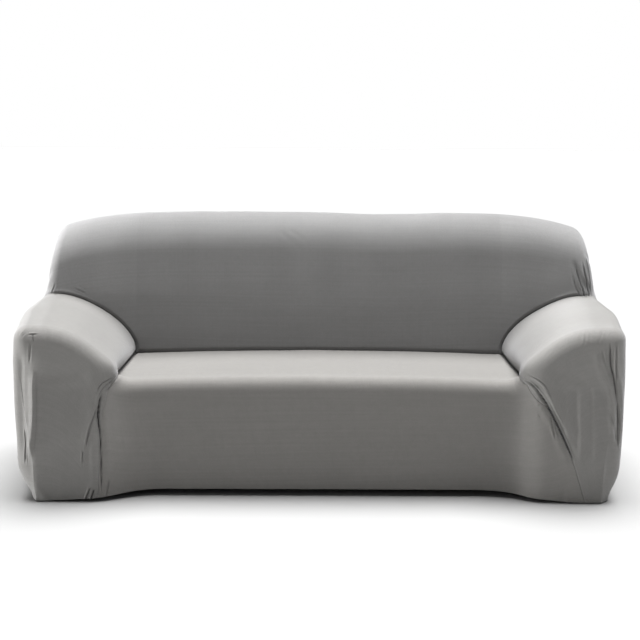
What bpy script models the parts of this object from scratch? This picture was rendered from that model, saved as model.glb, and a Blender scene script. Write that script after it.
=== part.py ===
"""A fitted stretch slipcover for a three-seat sofa: five cloth panels sewn into one hollow cover.

The cloth follows one smooth form, a seat, a back and two arms, rounded and bridged as stretched cloth does.
Each panel is a set of four-sided patches between shared edge lines. A patch is filled in between its edges,
settled onto the form, pushed in or out by the folds near it, and given the cloth's thickness.
"""

import math

import bpy
import numpy as np

# All sizes are in metres. While the form is worked out, x runs across the sofa from its middle, y runs back
# from the front of the arms, and z runs up from the floor.
CLOTH = 0.0025  # thickness of the sheet
SEAM_GAP = 0.0003  # clear gap between two panels along a seam

SEAT_Z = 0.418  # top of the seat at its rear, beside the arms
SEAT_RISE = 0.015  # how much it rises toward the front for each metre of depth
SEAT_CROWN = 0.014  # how much higher the seat is in the middle
SEAT_FRONT_Y = 0.075  # the seat's front stands this far behind the arms' fronts
SEAT_EDGE_R = 0.052
SEAT_HALF = 0.75

BACK_FOOT_Y = 0.690  # the back's face at seat level
BACK_LEAN = 0.16  # how far the face leans back for each metre of height
BACK_TOP_Z = 0.978  # a little above the highest line, where the rounded front edge meets the rear
BACK_TOP_DROP = 0.075  # how much lower the top is at its two ends
BACK_DIP, BACK_DIP_X, BACK_DIP_WIDTH = 0.008, 0.26, 0.20  # a shallow sag in the top, right of the middle
BACK_TOP_R = 0.155
BACK_HALF = 1.116  # half width where the back rises from the arms
BACK_NARROWING = 0.150  # lost on each side for each metre of height
BACK_SIDE_R = 0.040
BACK_END_X = 1.08
BACK_LEFT_SHORT = 0.012  # the back's left end stands this much further in
REAR_Y = 0.930
REAR_R = 0.050

ARM_HALF = 1.097  # half width of the whole sofa at the arms' fronts
ARM_WIDENING = 0.034  # added over the first part of the arm's depth
ARM_FRONT_TOP_Z = 0.629
ARM_REAR_TOP_Z = 0.648
ARM_GROWTH_Y = 0.42  # the depth over which the arm reaches its full height and width
ARM_TOP_LEAN = 0.08  # the outer side leans in above ARM_LEAN_Z
ARM_LEAN_Z = 0.50
ARM_CREST_FRONT_X, ARM_CREST_REAR_X = 1.00, 1.04  # inside this the arm's top curves down to the seat
ARM_ROUND_FRONT, ARM_ROUND_REAR = 1.9, 1.58  # 2 is round, and less is flatter, nearer to a slanted plane
ARM_FLATTENS_Y = (0.10, 0.60)  # the depths between which it changes from one to the other
ARM_BASE_Z = 0.44  # the arm's inner side is upright below this
ARM_INNER_REAR_X = 0.735
ARM_INNER_FRONT_X = 0.757
ARM_NARROWS_Y = (0.05, 0.60)  # between these depths the inner side goes from front to rear
ARM_OVERHANG = 0.032  # the padded arm bulges over the seat near its front
ARM_OVERHANG_Z, ARM_OVERHANG_HEIGHT = 0.49, 0.055
ARM_OUTER_R = 0.043
ARM_FRONT_R = 0.050
ARM_FACE_LEAN = 0.09  # the arm's front leans back above the seat's level

CREASE_BLEND = 0.009  # how sharply the cloth turns where it is tucked in
FRONT_BLEND = 0.085  # how softly it bridges from the seat's front to an arm's front, at the seat's level
FRONT_BLEND_Y = (0.06, 0.22)  # the depths between which that sharpens to the crease's
LOW_BLEND = 0.075  # and low down, where the seat's front comes forward
SIDE_BLEND = 0.030  # between an arm's top and the back
SIDE_BLEND_X = (0.80, 1.05)

TUCK_NEAR, TUCK_NEAR_Z = 0.040, 0.070  # the elastic hem draws the cloth in under the sofa
TUCK_FAR, TUCK_FAR_Z = 0.028, 0.150
TUCK_RIGHT_SPARED = 0.30  # the share of that which the right arm is spared
LEAN_RIGHT_SPARED = 0.06  # and how much less its outer side leans, for each metre of height
FRONT_TUCK = 0.26  # the share at the front and rear

HEM_ARM_Z = 0.0
HEM_SEAT_Z = 0.023
HEM_REAR_Z = 0.012
HEM_DROP_X = (0.57, 1.03)  # between these the front hem drops from the seat's height to the arm's
FILL_X = 0.57  # from here outwards the seat's front comes forward to the arm's
FILL_LEFT_X, FILL_RIGHT_X = 0.83, 0.98  # where it has done so, on each side
FILL_Z = (0.10, 0.42)  # less and less of that is left between these heights

# Where each front seam crosses the arm's front: height, and distance from the sofa's middle.
LEFT_SEAM = ((0.430, 0.757), (0.386, 0.777), (0.294, 0.790), (0.183, 0.790), (0.000, 0.791))
RIGHT_SEAM = ((0.430, 0.765), (0.367, 0.810), (0.257, 0.867), (0.154, 0.913), (0.000, 0.960))
SEAM_CORNER_Y = 0.045
BACK_SPLIT_X = 0.60  # the back's columns above the seat end here at its top
STEP_DROP = 0.010  # the seam from an arm to the rear runs this far below the arm's top
SIDE_FLARE_Y = 0.48  # behind this the arm's outer seam widens to meet the back

MOUNT_Y = 0.880  # the sofa's back carries the cover under this line of its top
EVEN_STEPS = 400
GRADIENT_STEP = 0.0005
SETTLE_STEPS = 14
LEVEL_LOW_Z, LEVEL_HIGH_Z = 0.06, 0.20
LONGEST_SETTLE = 0.02
WELD = 1e-5


# ---------------------------------------------------------------- the form


def ramp(value, low, high):
    """0 below low, 1 above high, and a smooth rise between."""
    t = np.clip((value - low) / (high - low), 0, 1)
    return t * t * (3 - 2 * t)


def round_edge(a, b, radius):
    """What lies inside both a and b, with the edge between them rounded."""
    outside = np.hypot(np.maximum(a + radius, 0), np.maximum(b + radius, 0))
    return np.minimum(np.maximum(a + radius, b + radius), 0) + outside - radius


def bridge(a, b, reach):
    """What lies inside a or b, with the hollow between them bridged by the cloth."""
    near = np.maximum(reach - np.abs(a - b), 0) / reach
    return np.minimum(a, b) - near * near * reach / 4


def hem_tuck(z):
    low = np.maximum(z, 0)
    return TUCK_NEAR * np.exp(-((low / TUCK_NEAR_Z) ** 2)) + TUCK_FAR * np.exp(-low / TUCK_FAR_Z)


def back_face_y(z):
    return BACK_FOOT_Y + BACK_LEAN * (z - SEAT_Z)


def back_top_z(x):
    sag = BACK_DIP * np.exp(-(((x - BACK_DIP_X) / BACK_DIP_WIDTH) ** 2))
    return BACK_TOP_Z - BACK_TOP_DROP * (np.abs(x) / BACK_END_X) ** 6 - sag


def back_half(z):
    return BACK_HALF - BACK_NARROWING * np.abs(z - ARM_REAR_TOP_Z)


def hem_z(x):
    return HEM_SEAT_Z + (HEM_ARM_Z - HEM_SEAT_Z) * ramp(np.abs(x), *HEM_DROP_X)


def seat_front_y(x, z):
    """The depth of the seat's front, which low down comes forward to meet the arms' fronts."""
    forward = ramp(np.abs(x), FILL_X, np.where(x < 0, FILL_LEFT_X, FILL_RIGHT_X))
    return SEAT_FRONT_Y * (1 - forward * (1 - ramp(z, *FILL_Z)))


def seat_top_z(x, y):
    return SEAT_Z + SEAT_CROWN * (1 - (x / SEAT_HALF) ** 2) + SEAT_RISE * (BACK_FOOT_Y - y)


def arm_top_z(y):
    return ARM_FRONT_TOP_Z + (ARM_REAR_TOP_Z - ARM_FRONT_TOP_Z) * ramp(y, 0, ARM_GROWTH_Y)


def arm_half(y, z):
    lean = ARM_TOP_LEAN * np.maximum(z - ARM_LEAN_Z, 0)
    return ARM_HALF + ARM_WIDENING * ramp(y, 0, ARM_GROWTH_Y) - lean - hem_tuck(z)


def right_spared(z):
    """How much further out the right arm's side stands than the left's."""
    return TUCK_RIGHT_SPARED * hem_tuck(z) + LEAN_RIGHT_SPARED * np.maximum(z - ARM_LEAN_Z, 0)


def arm_flatness(y):
    return ramp(y, *ARM_FLATTENS_Y)


def arm_crest_x(y):
    return ARM_CREST_FRONT_X + (ARM_CREST_REAR_X - ARM_CREST_FRONT_X) * arm_flatness(y)


def arm_roundness(y):
    return ARM_ROUND_FRONT + (ARM_ROUND_REAR - ARM_ROUND_FRONT) * arm_flatness(y)


def arm_inner_x(y, z):
    front = 1 - ramp(y, *ARM_NARROWS_Y)
    overhang = ARM_OVERHANG * np.exp(-(((z - ARM_OVERHANG_Z) / ARM_OVERHANG_HEIGHT) ** 2))
    return ARM_INNER_REAR_X + front * (ARM_INNER_FRONT_X - ARM_INNER_REAR_X - overhang)


def arm_face_y(z):
    return ARM_FACE_LEAN * np.maximum(z - SEAT_Z, 0) + FRONT_TUCK * hem_tuck(z)


def form(p):
    """Negative inside the shape that the cloth covers, zero on the cloth's outer face."""
    x, y, z = p[..., 0], p[..., 1], p[..., 2]
    across = np.abs(x)

    seat_front = seat_front_y(x, z) + FRONT_TUCK * hem_tuck(z) - y
    seat = round_edge(seat_front, z - seat_top_z(np.clip(x, -SEAT_HALF, SEAT_HALF), y), SEAT_EDGE_R)
    seat = np.maximum(seat, across - ARM_CREST_FRONT_X)

    back = round_edge(back_face_y(z) - y, z - back_top_z(x), BACK_TOP_R)
    back = round_edge(back, across + BACK_LEFT_SHORT * (x < 0) - back_half(z), BACK_SIDE_R)

    base, top = ARM_BASE_Z, arm_top_z(y)
    crest, power = arm_crest_x(y), arm_roundness(y)
    inward = np.maximum(crest - across, 0) / (crest - arm_inner_x(y, z))
    upward = np.maximum(z - base, 0) / (top - base)
    arm = ((inward**power + upward**power) ** (1 / power) - 1) * (top - base)
    arm = round_edge(arm, across - arm_half(y, z) - right_spared(z) * (x > 0), ARM_OUTER_R)
    arm = round_edge(arm, arm_face_y(z) - y, ARM_FRONT_R)

    front = 1 - ramp(y, *FRONT_BLEND_Y)
    soft = LOW_BLEND + (FRONT_BLEND - LOW_BLEND) * ramp(z, *FILL_Z)
    reach = CREASE_BLEND + front * (soft - CREASE_BLEND)
    body = bridge(seat, arm, reach)
    reach = CREASE_BLEND + (SIDE_BLEND - CREASE_BLEND) * ramp(across, *SIDE_BLEND_X)
    body = bridge(body, back, reach)
    return round_edge(body, y - REAR_Y + FRONT_TUCK * hem_tuck(z), REAR_R)


def slope(p):
    """The form's gradient, which points out of the cloth."""
    steps = np.eye(3) * GRADIENT_STEP
    rises = [form(p + step) - form(p - step) for step in steps]
    return np.stack(rises, axis=-1) / (2 * GRADIENT_STEP)


def unit(vectors):
    return vectors / np.maximum(np.linalg.norm(vectors, axis=-1, keepdims=True), 1e-12)


def settle(points):
    """Moves points straight onto the form, and level near the hem so that the hem keeps its height."""
    p = np.array(points, float)
    for _ in range(SETTLE_STEPS):
        g = slope(p)
        way = g.copy()
        way[..., 2] *= ramp(p[..., 2], LEVEL_LOW_Z, LEVEL_HIGH_Z)
        move = -form(p)[..., None] * way / np.maximum((way * g).sum(-1, keepdims=True), 1e-6)
        length = np.linalg.norm(move, axis=-1, keepdims=True)
        p += move * np.minimum(1, LONGEST_SETTLE / np.maximum(length, 1e-12))
    return p


# ---------------------------------------------------------------- edge lines


def spread(length, start, end, step):
    """Fractions 0 to 1 along a line: the given distances at both ends and about equal steps between."""
    first, last = np.array(start), length - np.array(end)[::-1]
    count = max(1, round((last[0] - first[-1]) / step))
    middle = np.linspace(first[-1], last[0], count + 1)
    return np.concatenate([first[:-1], middle, last[1:]]) / length


# Stations along each family of lines: closer together at creases, seams and rounded edges.
ACROSS = spread(1.50, (0, 0.012, 0.026, 0.045, 0.075, 0.120), (0, 0.012, 0.026, 0.045, 0.075, 0.120), 0.090)
ARM_ROUND = spread(0.50, (0, 0.012, 0.035, 0.070), (0, 0.016, 0.032, 0.048, 0.064, 0.082, 0.105), 0.062)
DEPTH = spread(0.66, (0, 0.012, 0.035, 0.075), (0, 0.030, 0.060, 0.095), 0.100)
DROP = spread(0.42, (0, 0.020, 0.045, 0.080), (0, 0.014, 0.040, 0.075), 0.055)
RISE = spread(0.50, (0, 0.012, 0.035), (0, 0.030, 0.065, 0.105), 0.075)
TOP = spread(0.20, (0, 0.035), (0, 0.035), 0.045)


def line(start, end, stations):
    start, end = np.array(start, float), np.array(end, float)
    return start + (end - start) * stations[:, None]


def along(points, stations):
    """Points at the given fractions of the length of a polyline."""
    points = np.array(points, float)
    reached = np.concatenate([[0], np.cumsum(np.linalg.norm(np.diff(points, axis=0), axis=1))])
    return np.stack([np.interp(stations * reached[-1], reached, points[:, k]) for k in range(3)], -1)


def arm_section(y_of_z, inner_x, outer_x, top, depth):
    """The arm's outline from the seat's crease up its inner side and over its top, as points to follow."""
    turn = np.linspace(0, math.pi / 2, 40)
    crest, power = arm_crest_x(depth), 2 / arm_roundness(depth)
    x = crest - (crest - inner_x) * np.cos(turn) ** power
    z = ARM_BASE_Z + (top - ARM_BASE_Z) * np.sin(turn) ** power
    x = np.concatenate([[inner_x], x, [outer_x]])
    z = np.concatenate([[SEAT_Z], z, [top]])
    return np.stack([x, y_of_z(z), z], -1)


def side_lines(side, seam):
    """The edge lines beside one arm, as arrays of points. side is -1 on the left and 1 on the right."""
    seam_z, seam_x = np.array(seam).T
    corner = (seam_x[0], SEAM_CORNER_Y, seam_z[0])
    rear_arm = (BACK_HALF, back_face_y(ARM_REAR_TOP_Z), ARM_REAR_TOP_Z - STEP_DROP)
    rear_edge = (BACK_HALF, REAR_Y, ARM_REAR_TOP_Z - STEP_DROP)
    top_z = ARM_REAR_TOP_Z
    for _ in range(8):
        top_z = back_top_z(back_half(top_z))
    top_front = (back_half(top_z), back_face_y(top_z), top_z)
    top_rear = (back_half(top_z), REAR_Y, top_z)
    hem_corner_x = ARM_HALF - TUCK_NEAR - TUCK_FAR
    seam_foot_z = hem_z(seam_x[-1])
    front_z = seam_foot_z + (seam_z[0] - seam_foot_z) * (1 - DROP)
    outer_z = HEM_ARM_Z + (ARM_FRONT_TOP_Z - HEM_ARM_Z) * (1 - DROP)
    hem_start, hem_end = (seam_x[-1], 0, seam_foot_z), (hem_corner_x, 0, HEM_ARM_Z)
    rear_z = HEM_REAR_Z + (rear_edge[2] - HEM_REAR_Z) * (1 - DROP)
    arm_y = rear_arm[1] * (1 - DEPTH)
    outer_x = arm_half(arm_y, ARM_REAR_TOP_Z)
    outer_x += (BACK_HALF - outer_x) * ramp(arm_y, SIDE_FLARE_Y, rear_arm[1])
    side_y = np.concatenate([arm_y[::-1], rear_arm[1] + (REAR_Y - rear_arm[1]) * TOP[1:]])

    lines = {
        "seat_crease": along([(ARM_INNER_REAR_X, BACK_FOOT_Y, SEAT_Z), corner], DEPTH),
        "front_seam": np.stack(
            [np.interp(-front_z, -seam_z, seam_x), SEAM_CORNER_Y * (1 - DROP), front_z], -1
        ),
        "arm_back": along(
            arm_section(back_face_y, ARM_INNER_REAR_X, BACK_HALF, ARM_REAR_TOP_Z, BACK_FOOT_Y), ARM_ROUND
        ),
        "arm_front_top": along(
            arm_section(lambda z: 0 * z, ARM_INNER_FRONT_X, ARM_HALF, ARM_FRONT_TOP_Z, 0), ARM_ROUND
        ),
        "arm_outer_top": np.stack([outer_x, arm_y, arm_top_z(arm_y)], -1),
        "arm_front_edge": np.stack([arm_half(0, outer_z), 0 * outer_z, outer_z], -1),
        "arm_hem": line(hem_start, hem_end, np.linspace(0, 1, len(ARM_ROUND))),
        "side_hem": np.stack([arm_half(side_y, 0.0), side_y, HEM_ARM_Z + 0 * side_y], -1),
        "side_step": line(rear_arm, rear_edge, TOP),
        "rear_lower": np.stack([arm_half(REAR_Y, rear_z), REAR_Y + 0 * rear_z, rear_z], -1),
        "back_side_edge": line(rear_arm, top_front, RISE),
        "rear_upper": line(rear_edge, top_rear, RISE),
        "top_side_edge": line(top_front, top_rear, TOP),
    }
    # The lines that meet at a corner share its point exactly.
    lines["arm_front_top"][0] = corner
    lines["arm_back"][-1] = rear_arm
    lines["arm_outer_top"][0] = rear_arm
    lines["arm_front_edge"][0] = lines["arm_outer_top"][-1] = lines["arm_front_top"][-1]
    lines["arm_hem"][0] = lines["front_seam"][-1]
    lines["arm_front_edge"][-1] = lines["side_hem"][0] = lines["arm_hem"][-1]
    lines["rear_lower"][0] = rear_edge
    lines["side_hem"][-1] = lines["rear_lower"][-1]
    for points in lines.values():
        points[:, 0] *= side
    return lines


def full_width(left, middle, right):
    """One line from the left arm's outer end, over the middle, to the right arm's outer end."""
    return np.concatenate([left[::-1], middle[1:-1], right])


def cross_lines(left, right):
    """The edge lines that run across the whole sofa."""

    def across(start, end, height, stations=ACROSS):
        points = line(start, end, stations)
        points[:, 2] = height(points[:, 0])
        return points

    def over_back(end, height):
        """The middle part, above the seat, and on both sides the part above an arm, out to end."""
        y, split = end[1], BACK_SPLIT_X
        out = line((split, y, 0), (abs(end[0]), y, 0), ARM_ROUND)
        out[:, 2] = height(out[:, 0])
        out[-1, 2] = end[2]
        middle = across((-split, y, 0), (split, y, 0), height)
        return full_width(out * (-1, 1, 1), middle, out)

    rear_hem = over_back(right["rear_lower"][-1], lambda x: HEM_REAR_Z + 0 * x)
    rear_hem[0] = left["rear_lower"][-1]

    crease = across(left["seat_crease"][0], right["seat_crease"][0], lambda x: seat_top_z(x, BACK_FOOT_Y))
    crease[0], crease[-1] = left["seat_crease"][0], right["seat_crease"][0]
    front_edge = line(left["seat_crease"][-1], right["seat_crease"][-1], ACROSS)
    front_edge[1:-1, 1] = SEAT_FRONT_Y
    front_edge[1:-1, 2] = seat_top_z(front_edge[1:-1, 0], SEAT_FRONT_Y)
    front_hem = line(left["front_seam"][-1], right["front_seam"][-1], ACROSS)
    front_hem[1:-1, 1] = seat_front_y(front_hem[1:-1, 0], 0)
    front_hem[1:-1, 2] = hem_z(front_hem[1:-1, 0])
    return {
        "crease": crease,
        "front_edge": front_edge,
        "front_hem": front_hem,
        "back_foot": full_width(left["arm_back"], crease, right["arm_back"]),
        "back_top_front": over_back(right["top_side_edge"][0], back_top_z),
        "back_top_rear": over_back(right["top_side_edge"][-1], back_top_z),
        "rear_hem": rear_hem,
    }


# ---------------------------------------------------------------- patches and folds


def fill(top, bottom, left, right):
    """A grid of points between four edge lines. Top and bottom run the same way, as do left and right."""
    u = 0.5 * (fractions(top) + fractions(bottom))[None, :, None]
    v = 0.5 * (fractions(left) + fractions(right))[:, None, None]
    ruled = (1 - v) * top[None] + v * bottom[None] + (1 - u) * left[:, None] + u * right[:, None]
    corners = (1 - v) * ((1 - u) * top[0] + u * top[-1]) + v * ((1 - u) * bottom[0] + u * bottom[-1])
    grid = ruled - corners
    width = np.linalg.norm(np.diff(grid, axis=1), axis=-1).sum(1).mean()
    height = np.linalg.norm(np.diff(grid, axis=0), axis=-1).sum(0).mean()
    before, after = neighbour_weights(u * width, 1)
    above, below = neighbour_weights(v * height, 0)
    total = before + after + above + below
    for _ in range(EVEN_STEPS):
        pull = before * grid[1:-1, :-2] + after * grid[1:-1, 2:]
        pull += above * grid[:-2, 1:-1] + below * grid[2:, 1:-1]
        grid[1:-1, 1:-1] = pull / total
    return grid


def neighbour_weights(stations, axis):
    """How strongly a grid point is drawn to its neighbour on each side, for unevenly spaced stations."""
    gaps = np.diff(stations, axis=axis)
    first, second = (gaps[:, :-1], gaps[:, 1:]) if axis == 1 else (gaps[:-1], gaps[1:])
    return 2 / (first * (first + second)), 2 / (second * (first + second))


def fractions(points):
    reached = np.concatenate([[0], np.cumsum(np.linalg.norm(np.diff(points, axis=0), axis=1))])
    return reached / reached[-1]


def panel_patches():
    """Every panel's patches, as grids of points before they settle, named by panel."""
    left, right = side_lines(-1, LEFT_SEAM), side_lines(1, RIGHT_SEAM)
    middle = cross_lines(left, right)
    panels = {
        "seat_front_panel": [
            fill(middle["crease"], middle["front_edge"], left["seat_crease"], right["seat_crease"]),
            fill(middle["front_edge"], middle["front_hem"], left["front_seam"], right["front_seam"]),
        ],
        "inside_back_panel": [
            fill(
                middle["back_foot"],
                middle["back_top_front"],
                left["back_side_edge"],
                right["back_side_edge"],
            ),
            fill(
                middle["back_top_front"],
                middle["back_top_rear"],
                left["top_side_edge"],
                right["top_side_edge"],
            ),
        ],
    }
    for name, half in (("left", left), ("right", right)):
        panels["inside_back_panel"].append(
            fill(half["side_step"], half["top_side_edge"], half["back_side_edge"], half["rear_upper"])
        )
        side_top = np.concatenate([half["arm_outer_top"][::-1], half["side_step"][1:]])
        panels[f"{name}_arm_panel"] = [
            fill(half["arm_back"], half["arm_front_top"], half["seat_crease"], half["arm_outer_top"]),
            fill(half["arm_front_top"], half["arm_hem"], half["front_seam"], half["arm_front_edge"]),
            fill(side_top, half["side_hem"], half["arm_front_edge"], half["rear_lower"]),
        ]
    rears = [np.concatenate([h["rear_upper"][::-1], h["rear_lower"][1:]]) for h in (left, right)]
    panels["outside_back_panel"] = [fill(middle["back_top_rear"], middle["rear_hem"], *rears)]
    return panels, left, right, middle


# The main folds. path runs along the fold in x, y, z. depth is how far the cloth sinks, or stands out where
# it is negative. width is half the fold's width. lips is how far its banks stand out, as a share of depth.
FOLDS = [
    {
        "name": "left seam pull",
        "path": ((-0.760, 0.03, 0.425), (-0.777, 0.01, 0.386), (-0.790, 0, 0.294), (-0.791, 0, 0.020)),
        "depth": 0.015,
        "width": 0.015,
        "lips": 0.30,
    },
    {
        "name": "left seam branch",
        "path": ((-0.782, 0, 0.350), (-0.812, 0, 0.250), (-0.822, 0, 0.185)),
        "depth": 0.006,
        "width": 0.012,
        "lips": 0.30,
    },
    {
        "name": "right seam pull",
        "path": ((0.770, 0.03, 0.425), (0.810, 0, 0.367), (0.867, 0, 0.257), (0.913, 0, 0.154)),
        "depth": 0.014,
        "width": 0.016,
        "lips": 0.40,
    },
    {
        "name": "right seam branch",
        "path": ((0.795, 0.01, 0.375), (0.800, 0.02, 0.300), (0.805, 0.02, 0.240)),
        "depth": 0.005,
        "width": 0.013,
        "lips": 0.20,
    },
    {
        "name": "left arm edge ridge",
        "path": ((-1.014, 0, 0.480), (-1.016, 0, 0.300), (-1.030, 0, 0.140)),
        "depth": -0.007,
        "width": 0.014,
        "lips": 0.0,
    },
    {
        "name": "left arm edge hollow",
        "path": ((-1.038, 0, 0.480), (-1.048, 0, 0.320), (-1.056, 0, 0.150)),
        "depth": 0.010,
        "width": 0.015,
        "lips": 0.0,
    },
    {
        "name": "right arm outer fold",
        "path": (
            (1.030, 0, 0.585),
            (1.036, 0, 0.500),
            (1.052, 0.01, 0.420),
            (1.064, 0.01, 0.340),
            (1.066, 0.01, 0.200),
        ),
        "depth": 0.013,
        "width": 0.015,
        "lips": 0.40,
    },
    {
        "name": "right arm middle fold",
        "path": ((1.000, 0, 0.560), (1.012, 0, 0.500), (1.040, 0, 0.420)),
        "depth": 0.007,
        "width": 0.013,
        "lips": 0.30,
    },
    {
        "name": "right arm soft ridge",
        "path": ((0.940, 0, 0.440), (0.942, 0, 0.300), (0.950, 0, 0.150)),
        "depth": -0.004,
        "width": 0.018,
        "lips": 0.0,
    },
    {
        "name": "right back pull",
        "path": ((1.020, 0.77, 0.790), (1.045, 0.76, 0.730), (1.085, 0.76, 0.665)),
        "depth": 0.012,
        "width": 0.015,
        "lips": 0.40,
    },
    {
        "name": "right back outer pull",
        "path": ((1.062, 0.79, 0.820), (1.078, 0.79, 0.750), (1.105, 0.79, 0.670)),
        "depth": 0.010,
        "width": 0.014,
        "lips": 0.30,
    },
    {
        "name": "left back pull",
        "path": ((-1.060, 0.77, 0.740), (-1.080, 0.77, 0.700), (-1.102, 0.78, 0.665)),
        "depth": 0.008,
        "width": 0.015,
        "lips": 0.30,
    },
]
CREASE_DEPTH, CREASE_WIDTH = 0.013, 0.015  # how the cloth is pushed down between the cushions
CREASE_END = 0.20  # the share of its length over which a crease beside the seat fades toward the front
FOLD_TAPER = 0.22  # the share of a fold's length over which each end fades
BANK_PLACE = 2.1  # a fold's banks lie this many times its width from its line
SHARPEST_MITRE = 0.4
SHARP_ANGLE = math.radians(60)


def lateral(points, path):
    """Distance of each point from a polyline, and the fraction along it of the nearest place."""
    lengths = np.linalg.norm(np.diff(path, axis=0), axis=1)
    reached = np.concatenate([[0], np.cumsum(lengths)])
    best = np.full(len(points), np.inf)
    fraction = np.zeros(len(points))
    for start, end, length, passed in zip(path[:-1], path[1:], lengths, reached):
        t = np.clip(((points - start) @ (end - start)) / length**2, 0, 1)
        distance = np.linalg.norm(points - start - t[:, None] * (end - start), axis=1)
        nearer = distance < best
        best = np.where(nearer, distance, best)
        fraction = np.where(nearer, (passed + t * length) / reached[-1], fraction)
    return best, fraction


def fold_push(points, creases):
    """How far each point moves out of the form, with the folds and the tucked creases taken together."""
    push = np.zeros(len(points))
    for fold in FOLDS:
        distance, fraction = lateral(points, settle(fold["path"]))
        fade = ramp(fraction, 0, FOLD_TAPER) * ramp(1 - fraction, 0, FOLD_TAPER)
        q = distance / fold["width"]
        profile = np.exp(-(q**2)) - fold["lips"] * np.exp(-((q - BANK_PLACE) ** 2))
        push -= fold["depth"] * fade * profile
    crease_push = np.zeros(len(points))
    for crease, end in creases:
        distance, fraction = lateral(points, crease)
        fade = ramp(1 - fraction, 0, end) if end else 1
        crease_push = np.maximum(crease_push, fade * np.exp(-((distance / CREASE_WIDTH) ** 2)))
    return push - CREASE_DEPTH * crease_push


# ---------------------------------------------------------------- panels as sheets


def quads(rows, columns):
    """Corner indices of each cell of a grid."""
    i, j = np.meshgrid(np.arange(rows - 1), np.arange(columns - 1), indexing="ij")
    first = (i * columns + j).ravel()
    return np.stack([first, first + 1, first + columns + 1, first + columns], -1)


def weld(points, faces):
    """Joins points that coincide, and drops the corners that a face then repeats."""
    _, first, index = np.unique(np.round(points / WELD), axis=0, return_index=True, return_inverse=True)
    index = index.reshape(-1)
    joined = [list(dict.fromkeys(index[f].tolist())) for f in faces]
    return points[first], [f for f in joined if len(f) > 2]


def face_normal(points, face):
    corners = points[face]
    return np.cross(corners[2] - corners[0], corners[-1] - corners[1 if len(face) > 3 else 0])


def boundary_edges(faces):
    """Edges with a face on one side only, in that face's own direction."""
    edges = {(a, b) for face in faces for a, b in zip(face, face[1:] + face[:1])}
    return [(a, b) for a, b in edges if (b, a) not in edges]


def seam_shift(points, faces, shared):
    """How far each seam vertex draws back into its own panel, square to the seam."""
    inward = {}
    for face in faces:
        normal = unit(face_normal(points, face))
        for a, b in zip(face, face[1:] + face[:1]):
            inward[(a, b)] = unit(np.cross(normal, points[b] - points[a]))
    pulls = {}
    for a, b in boundary_edges(faces):
        if a in shared and b in shared:
            for vertex in (a, b):
                pulls.setdefault(vertex, []).append(inward[(a, b)])
    shift = np.zeros_like(points)
    for vertex, directions in pulls.items():
        total = np.sum(directions, axis=0)
        if len(directions) == 2:
            total /= max(1 + directions[0] @ directions[1], SHARPEST_MITRE)
        shift[vertex] = total * SEAM_GAP / 2
    return shift


def key(point):
    return tuple(np.round(point / WELD).astype(int).tolist())


def sheet(name, points, faces, normals, shared, material):
    """One panel: its outer face, its inner face a cloth's thickness below, and the edge between them."""
    outer = points + seam_shift(points, faces, shared)
    inner = outer - CLOTH * normals
    count = len(points)
    shell = [list(face) for face in faces]
    shell += [[v + count for v in reversed(face)] for face in faces]
    for a, b in boundary_edges(faces):
        # Cut across the same diagonal on both sides of a seam, so that the two cut edges stay parallel.
        if key(points[a]) < key(points[b]):
            shell += [[b, a, a + count], [b, a + count, b + count]]
        else:
            shell += [[b, a, b + count], [a, a + count, b + count]]
    mesh = bpy.data.meshes.new(name)
    mesh.from_pydata((np.concatenate([outer, inner]) - ORIGIN).tolist(), [], shell)
    mesh.materials.append(material)
    mesh.shade_smooth()
    mesh.set_sharp_from_angle(angle=SHARP_ANGLE)
    panel = bpy.data.objects.new(name, mesh)
    bpy.context.scene.collection.objects.link(panel)


def settled_panels():
    """Every panel's welded points and faces on the form, with the folds pressed in."""
    patches, left, right, middle = panel_patches()
    creases = [(settle(middle["crease"]), 0)]
    for half in (left, right):
        creases += [(settle(half["seat_crease"]), CREASE_END), (settle(half["arm_back"]), CREASE_END)]
    panels = {}
    for name, grids in patches.items():
        points, faces, offset = [], [], 0
        for grid in grids:
            rows, columns = grid.shape[:2]
            flat = settle(grid.reshape(-1, 3))
            cells = quads(rows, columns)
            a, b, c, d = (flat[cells[:, k]] for k in range(4))
            if (np.cross(c - a, d - b) * slope(a)).sum() < 0:
                cells = cells[:, ::-1]
            points.append(flat)
            faces.append(cells + offset)
            offset += len(flat)
        base, joined = weld(np.concatenate(points), np.concatenate(faces))
        pushed = base + fold_push(base, creases)[:, None] * unit(slope(base))
        panels[name] = (base, pushed, joined)
    return panels


# Mid-grey jersey, a little cooler on the back and warmer on the seat and its front.
JERSEY = {
    "inside_back_panel": (0.240, 0.240, 0.242, 1),
    "seat_front_panel": (0.245, 0.240, 0.230, 1),
    "left_arm_panel": (0.245, 0.240, 0.234, 1),
    "right_arm_panel": (0.245, 0.240, 0.234, 1),
    "outside_back_panel": (0.240, 0.240, 0.240, 1),
}


def jersey(panel_name):
    """The panel's matte stretch jersey."""
    material = bpy.data.materials.new(f"{panel_name}_jersey")
    material.use_nodes = True
    shader = material.node_tree.nodes["Principled BSDF"]
    shader.inputs["Base Color"].default_value = JERSEY[panel_name]
    shader.inputs["Roughness"].default_value = 0.9
    shader.inputs["Metallic"].default_value = 0
    return material


def build():
    panels = settled_panels()
    users, total = {}, {}
    for name, (base, pushed, faces) in panels.items():
        panel_normals = np.zeros_like(pushed)
        for face in faces:
            panel_normals[face] += face_normal(pushed, face)
        for point, normal in zip(base, panel_normals):
            users.setdefault(key(point), set()).add(name)
            total[key(point)] = total.get(key(point), 0) + normal
    for name, (base, pushed, faces) in panels.items():
        normals = unit(np.array([total[key(point)] for point in base]))
        shared = {i for i, point in enumerate(base) if len(users[key(point)]) > 1}
        sheet(name, pushed, faces, normals, shared, jersey(name))


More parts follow.
